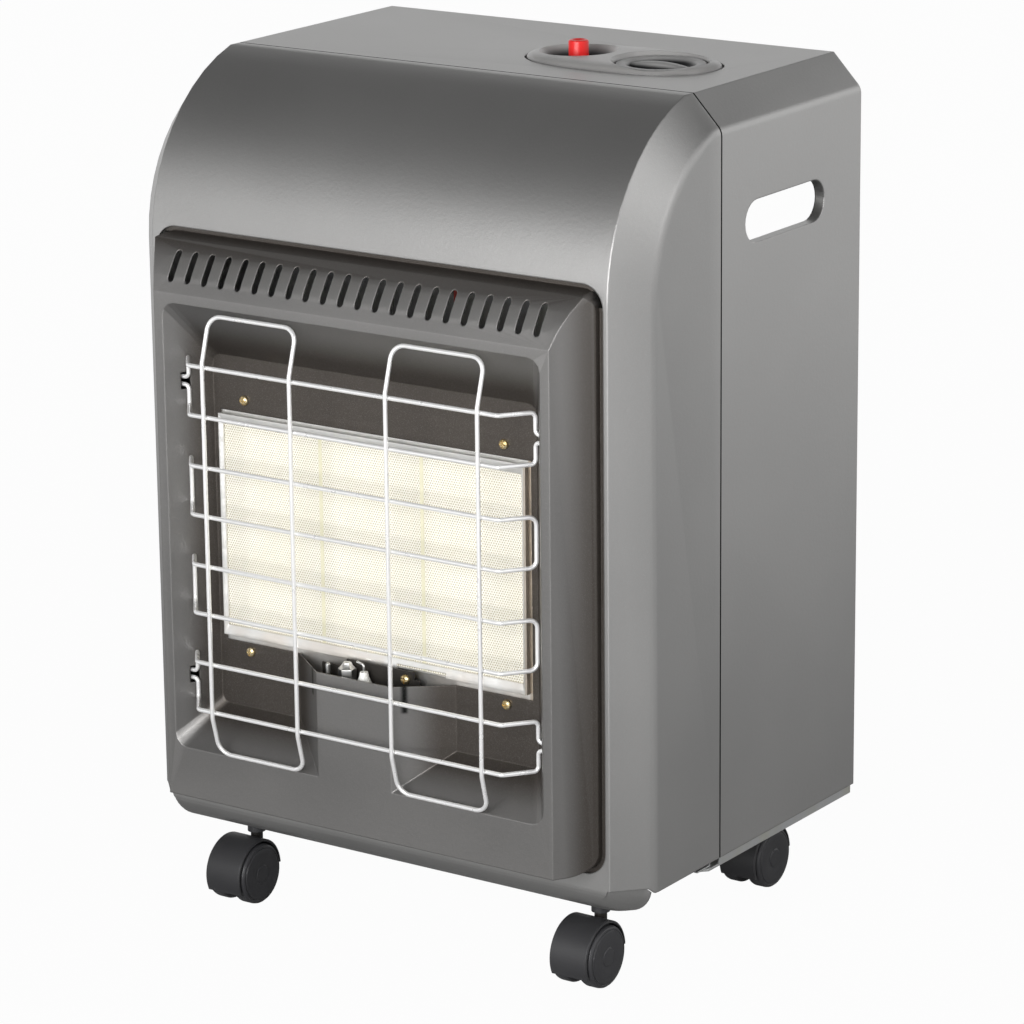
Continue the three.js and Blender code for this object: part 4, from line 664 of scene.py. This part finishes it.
def make_castor(key, x, y, finishes):
    body = "castor_" + key
    axle = at(x, y - TRAIL, WHEEL)
    hood = bmesh.new()
    arc_shell(hood, axle, *HOOD_RADII, *HOOD_ARC, HOOD_HALF)
    web_plate(hood, axle, WEB_RADIUS, *HOOD_ARC, WEB_HALF)
    lathe(hood, [(4.4, 43), (5.9, 43), (5.9, 57.6), (5.3, 62.2), (4.4, 62.2), (4.4, 43)],
          at(x, y, 0), (0, 0, 1), 40)
    cover = piece(body + "_cover", hood, body, "black_plastic", finishes)
    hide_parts(body + "_hood")
    for hand, side in (("left", -1), ("right", 1)):
        make_wheel(body, hand, side, axle, finishes)


def make_wheel(body, hand, side, axle, finishes):
    """One tread wheel with its dished cap, a fine light rim and a hub boss."""
    wheel = bmesh.new()
    lathe(wheel, [(2.9, 4.7), (18.6, 4.7), (19.6, 5.3), (20.0, 6.4), (20.0, 12.6), (19.7, 13.9),
                  (18.9, 14.9), (17.9, 15.3), (17.6, 15.0), (17.2, 15.0), (16.9, 15.5),
                  (15.5, 15.9), (9.5, 15.75), (6.2, 15.4), (5.6, 15.9), (0, 15.95)],
          axle, (side, 0, 0), 72)
    name = f"{body}_tread_{hand}"
    made = piece(name, wheel, f"{body}_wheel_{hand}", "black_plastic", finishes, "wheel_cap", 24)
    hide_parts(f"{body}_wheel_{hand}")


# ---- controls ------------------------------------------------------------------------------------------

PLATE = (76, 163.5)
PLATE_HALF = (67, 39)
PLATE_POWER = 2.35
BUTTON = (41, 166)
KNOB = (105, 161)


def plate_outline(grow, z, steps=160):
    """The superellipse outline of the oval control plate."""
    points = []
    for k in range(steps):
        a = TURN * k / steps
        c, s = math.cos(a), math.sin(a)
        x = (PLATE_HALF[0] + grow) * math.copysign(abs(c) ** (2 / PLATE_POWER), c)
        y = (PLATE_HALF[1] + grow) * math.copysign(abs(s) ** (2 / PLATE_POWER), s)
        points.append(at(PLATE[0] + x, PLATE[1] + y, z))
    return points


def stack_loops(mesh, loops):
    rings = [[mesh.verts.new(p) for p in loop] for loop in loops]
    count = len(rings[0])
    for low, high in zip(rings, rings[1:]):
        for k in range(count):
            n = (k + 1) % count
            mesh.faces.new((low[k], low[n], high[n], high[k]))
    mesh.faces.new(rings[0][::-1])
    mesh.faces.new(rings[-1])


def carve(mesh, tools):
    """Cuts each tool out of a bmesh."""
    data = bpy.data.meshes.new("blank")
    bmesh.ops.recalc_face_normals(mesh, faces=mesh.faces)
    mesh.to_mesh(data)
    blank = bpy.data.objects.new("blank", data)
    bpy.context.scene.collection.objects.link(blank)
    cutters = []
    for k, tool in enumerate(tools):
        bmesh.ops.recalc_face_normals(tool, faces=tool.faces)
        shape = bpy.data.meshes.new(f"tool_{k}")
        tool.to_mesh(shape)
        tool.free()
        cutter = bpy.data.objects.new(f"tool_{k}", shape)
        bpy.context.scene.collection.objects.link(cutter)
        cutters.append(cutter)
        step = blank.modifiers.new("cut", "BOOLEAN")
        step.operation = "DIFFERENCE"
        step.solver = "EXACT"
        step.object = cutter
    view = bpy.context.evaluated_depsgraph_get()
    result = bpy.data.meshes.new_from_object(blank.evaluated_get(view))
    mesh.clear()
    mesh.from_mesh(result)
    for spare in (blank, *cutters):
        bpy.data.objects.remove(spare)
    return mesh


def make_control_plate(finishes):
    plate = bmesh.new()
    rows = [(549.2, 4.0), (550.4, 4.0), (550.45, -1.4), (551.5, -1.4), (552.7, -1.75),
            (553.7, -2.6), (554.7, -4.8), (555.4, -8), (555.85, -12.5), (556.1, -18),
            (556.2, -24)]
    stack_loops(plate, [plate_outline(grow, z) for z, grow in rows])
    dial = bmesh.new()
    lathe(dial, [(0, 541), (29.3, 541), (29.4, 552.6), (29.9, 554.4), (31.2, 556), (32.6, 559),
                 (0, 559)], at(*KNOB, 0), (0, 0, 1), 96)
    dish = bmesh.new()
    lathe(dish, [(0, 548), (13, 548.05), (17, 548.9), (20, 550.7), (22.3, 552.9), (23.6, 554.7),
                 (25.2, 556.1), (27, 559), (0, 559)], at(*BUTTON, 0), (0, 0, 1), 96)
    carve(plate, [dial, dish])
    lathe(plate, [(8.6, 541), (29.4, 541), (29.4, 549.3), (30.7, 549.3), (30.7, 539.8),
                  (8.6, 539.8), (8.6, 541)], at(*KNOB, 0), (0, 0, 1), 96)
    lathe(plate, [(7.1, 548), (13, 548.05), (17, 548.9), (18.5, 549.6), (19.8, 549.3),
                  (16.8, 546.8), (7.1, 546.8), (7.1, 548)], at(*BUTTON, 0), (0, 0, 1), 96)
    made = piece("oval_control_plate", plate, "cabinet", "grey_plastic", finishes, angle=34)
    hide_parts("control_bezel")


def make_knob(finishes):
    knob = bmesh.new()
    lathe(knob, [(4.4, 540.3), (7.4, 540.3), (7.4, 546), (27.6, 546), (28.3, 546.6), (28.35, 552.6),
                 (28.0, 553.5), (27.1, 553.95), (23.0, 553.98), (22.2, 553.6), (21.6, 552.6),
                 (19.9, 549.8), (17.4, 548.2), (15.5, 548), (0, 548)],
          at(*KNOB, 0), (0, 0, 1), 96)
    grip_bar(knob)
    made = piece("gas_control_knob", knob, "control_knob", "grey_plastic", finishes, "knob_plastic", 34)
    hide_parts("control_knob")


def grip_bar(mesh):
    """The arched bar across the knob's bowl, rounded along its top."""
    length, steps = 21.4, 28
    section = [(-3.7, -5), (-3.7, -1.3), (-3.2, -0.5), (-2.2, 0), (2.2, 0), (3.2, -0.5),
               (3.7, -1.3), (3.7, -5)]
    rings = []
    for k in range(steps + 1):
        share = 2 * k / steps - 1
        crest = 552.1 + 2.4 * (1 - share * share)
        rings.append([mesh.verts.new(at(KNOB[0] + share * length, KNOB[1] + w,
                                        max(crest + drop, 547.6))) for w, drop in section])
    count = len(section)
    for low, high in zip(rings, rings[1:]):
        for n in range(count):
            m = (n + 1) % count
            mesh.faces.new((low[n], low[m], high[m], high[n]))
    mesh.faces.new(rings[0][::-1])
    mesh.faces.new(rings[-1])


def make_button(finishes):
    button = bmesh.new()
    lathe(button, [(0, 520.2), (2.8, 520.2), (2.9, 543), (6.1, 543), (6.35, 543.4), (6.35, 560.6),
                   (6.1, 561.5), (5.3, 561.95), (4.2, 561.9), (3.2, 561.4), (1.2, 561.1),
                   (0, 561.05)], at(*BUTTON, 0), (0, 0, 1), 48)
    made = piece("red_igniter_button", button, "igniter_button", "red_plastic", finishes)
    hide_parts("igniter_button")


# ---- studio ---------------------------------------------------------------------------------------------

def make_studio():
    floor_mesh = bpy.data.meshes.new("studio_floor")
    reach = 9
    floor_mesh.from_pydata([(-reach, -reach, -0.0006), (reach, -reach, -0.0006),
                            (reach, reach, -0.0006), (-reach, reach, -0.0006)], [], [(0, 1, 2, 3)])
    floor = bpy.data.objects.new("studio_floor", floor_mesh)
    bpy.context.scene.collection.objects.link(floor)
    paper = Finish("studio_paper", Roughness=0.9, Specular_IOR_Level=0.1)
    x, y, _ = paper.axes()
    away = (x * x + y * y).math("SQRT").smooth(0.35, 2.7)
    tone = paper.blend(paper.noise(3, 2), (0.90, 0.90, 0.90), (0.93, 0.93, 0.93))
    # painted shade: the floor darker near the object, and showing less white in reflections there
    paper.set(Base_Color=paper.blend(away, (0.40, 0.40, 0.40), tone))
    shares = {"Is Camera Ray": 0.97, "Is Glossy Ray": away * 0.75, "Is Transmission Ray": 0.95}
    seen = sum(paper.node("ShaderNodeLightPath", {}, {}, kind) * share
               for kind, share in shares.items())
    white = paper.node("ShaderNodeEmission", {}, {"Color": (1, 1, 1, 1), "Strength": 1.0})
    mixed = paper.node("ShaderNodeMixShader", {}, {
        0: seen, 1: Value(paper, paper.shader.outputs[0]), 2: white})
    paper.feed(paper.tree.nodes["Material Output"].inputs["Surface"], mixed)
    floor_mesh.materials.append(paper.material)


def softbox(name, place, aim, width, height, power, colour=(1, 1, 1)):
    light = bpy.data.lights.new(name, "AREA")
    light.shape = "RECTANGLE"
    light.size = width
    light.size_y = height
    light.energy = power
    light.color = colour
    lamp = bpy.data.objects.new(name, light)
    lamp.location = place
    lamp.rotation_mode = "QUATERNION"
    lamp.rotation_quaternion = (Vector(aim) - Vector(place)).to_track_quat("-Z", "Y")
    bpy.context.scene.collection.objects.link(lamp)


def light_studio():
    world = bpy.data.worlds.new("studio")
    bpy.context.scene.world = world
    world.use_nodes = True
    world.node_tree.nodes.clear()
    sky = Shading(world.node_tree)
    direction = sky.node("ShaderNodeTexCoord", {}, {}, "Generated")
    height = sky.node("ShaderNodeSeparateXYZ", {}, {0: direction}, "Z")
    rear = sky.node("ShaderNodeSeparateXYZ", {}, {0: direction}, "Y").smooth(-0.4, 0.5)
    levels = [(0.0, 0.74), (0.16, 0.95), (0.30, 1.0), (0.42, 0.36), (0.60, 0.10), (1.0, 0.10)]
    shade = sky.node("ShaderNodeValToRGB", {"stops": [(p, (v, v, v)) for p, v in levels]},
                     {0: height})
    soft = sky.node("ShaderNodeBackground", {}, {"Color": shade, "Strength": rear * 0.45 + 0.76})
    sky.node("ShaderNodeOutputWorld", {}, {"Surface": soft})
    softbox("upper_right_box", (2.3, -0.2, 1.9), (0, 0, 0.4), 1.8, 1.6, 15)
    softbox("front_right_box", (0.45, -2.8, 1.0), (0, 0, 0.28), 2.2, 1.4, 76)


# ---- build ----------------------------------------------------------------------------------------------

aim_camera()
finishes = make_finishes()
# the knob darkens below its rim, painted shade
finishes["knob_plastic"] = moulded("knob_plastic", (0.230, 0.228, 0.225), 0.32, 0.3,
                                   bowl_shade_heights=(0.5508, 0.5534))
# the joint strips' darker tan is painted shade
finishes["joint_shade"] = moulded("joint_shade", (0.66, 0.62, 0.46), 0.8, 0.6)
finishes["wheel_cap"] = moulded("wheel_cap_plastic", (0.030, 0.030, 0.033), 0.30, 0.5)
dress_nodes(finishes)
make_guard(finishes)
make_joint_shade_strips(finishes)
for key, (x, y) in CASTORS.items():
    make_castor(key, x, y, finishes)
make_control_plate(finishes)
make_knob(finishes)
make_button(finishes)
make_studio()
light_studio()

bpy.context.scene.view_settings.view_transform = "Standard"
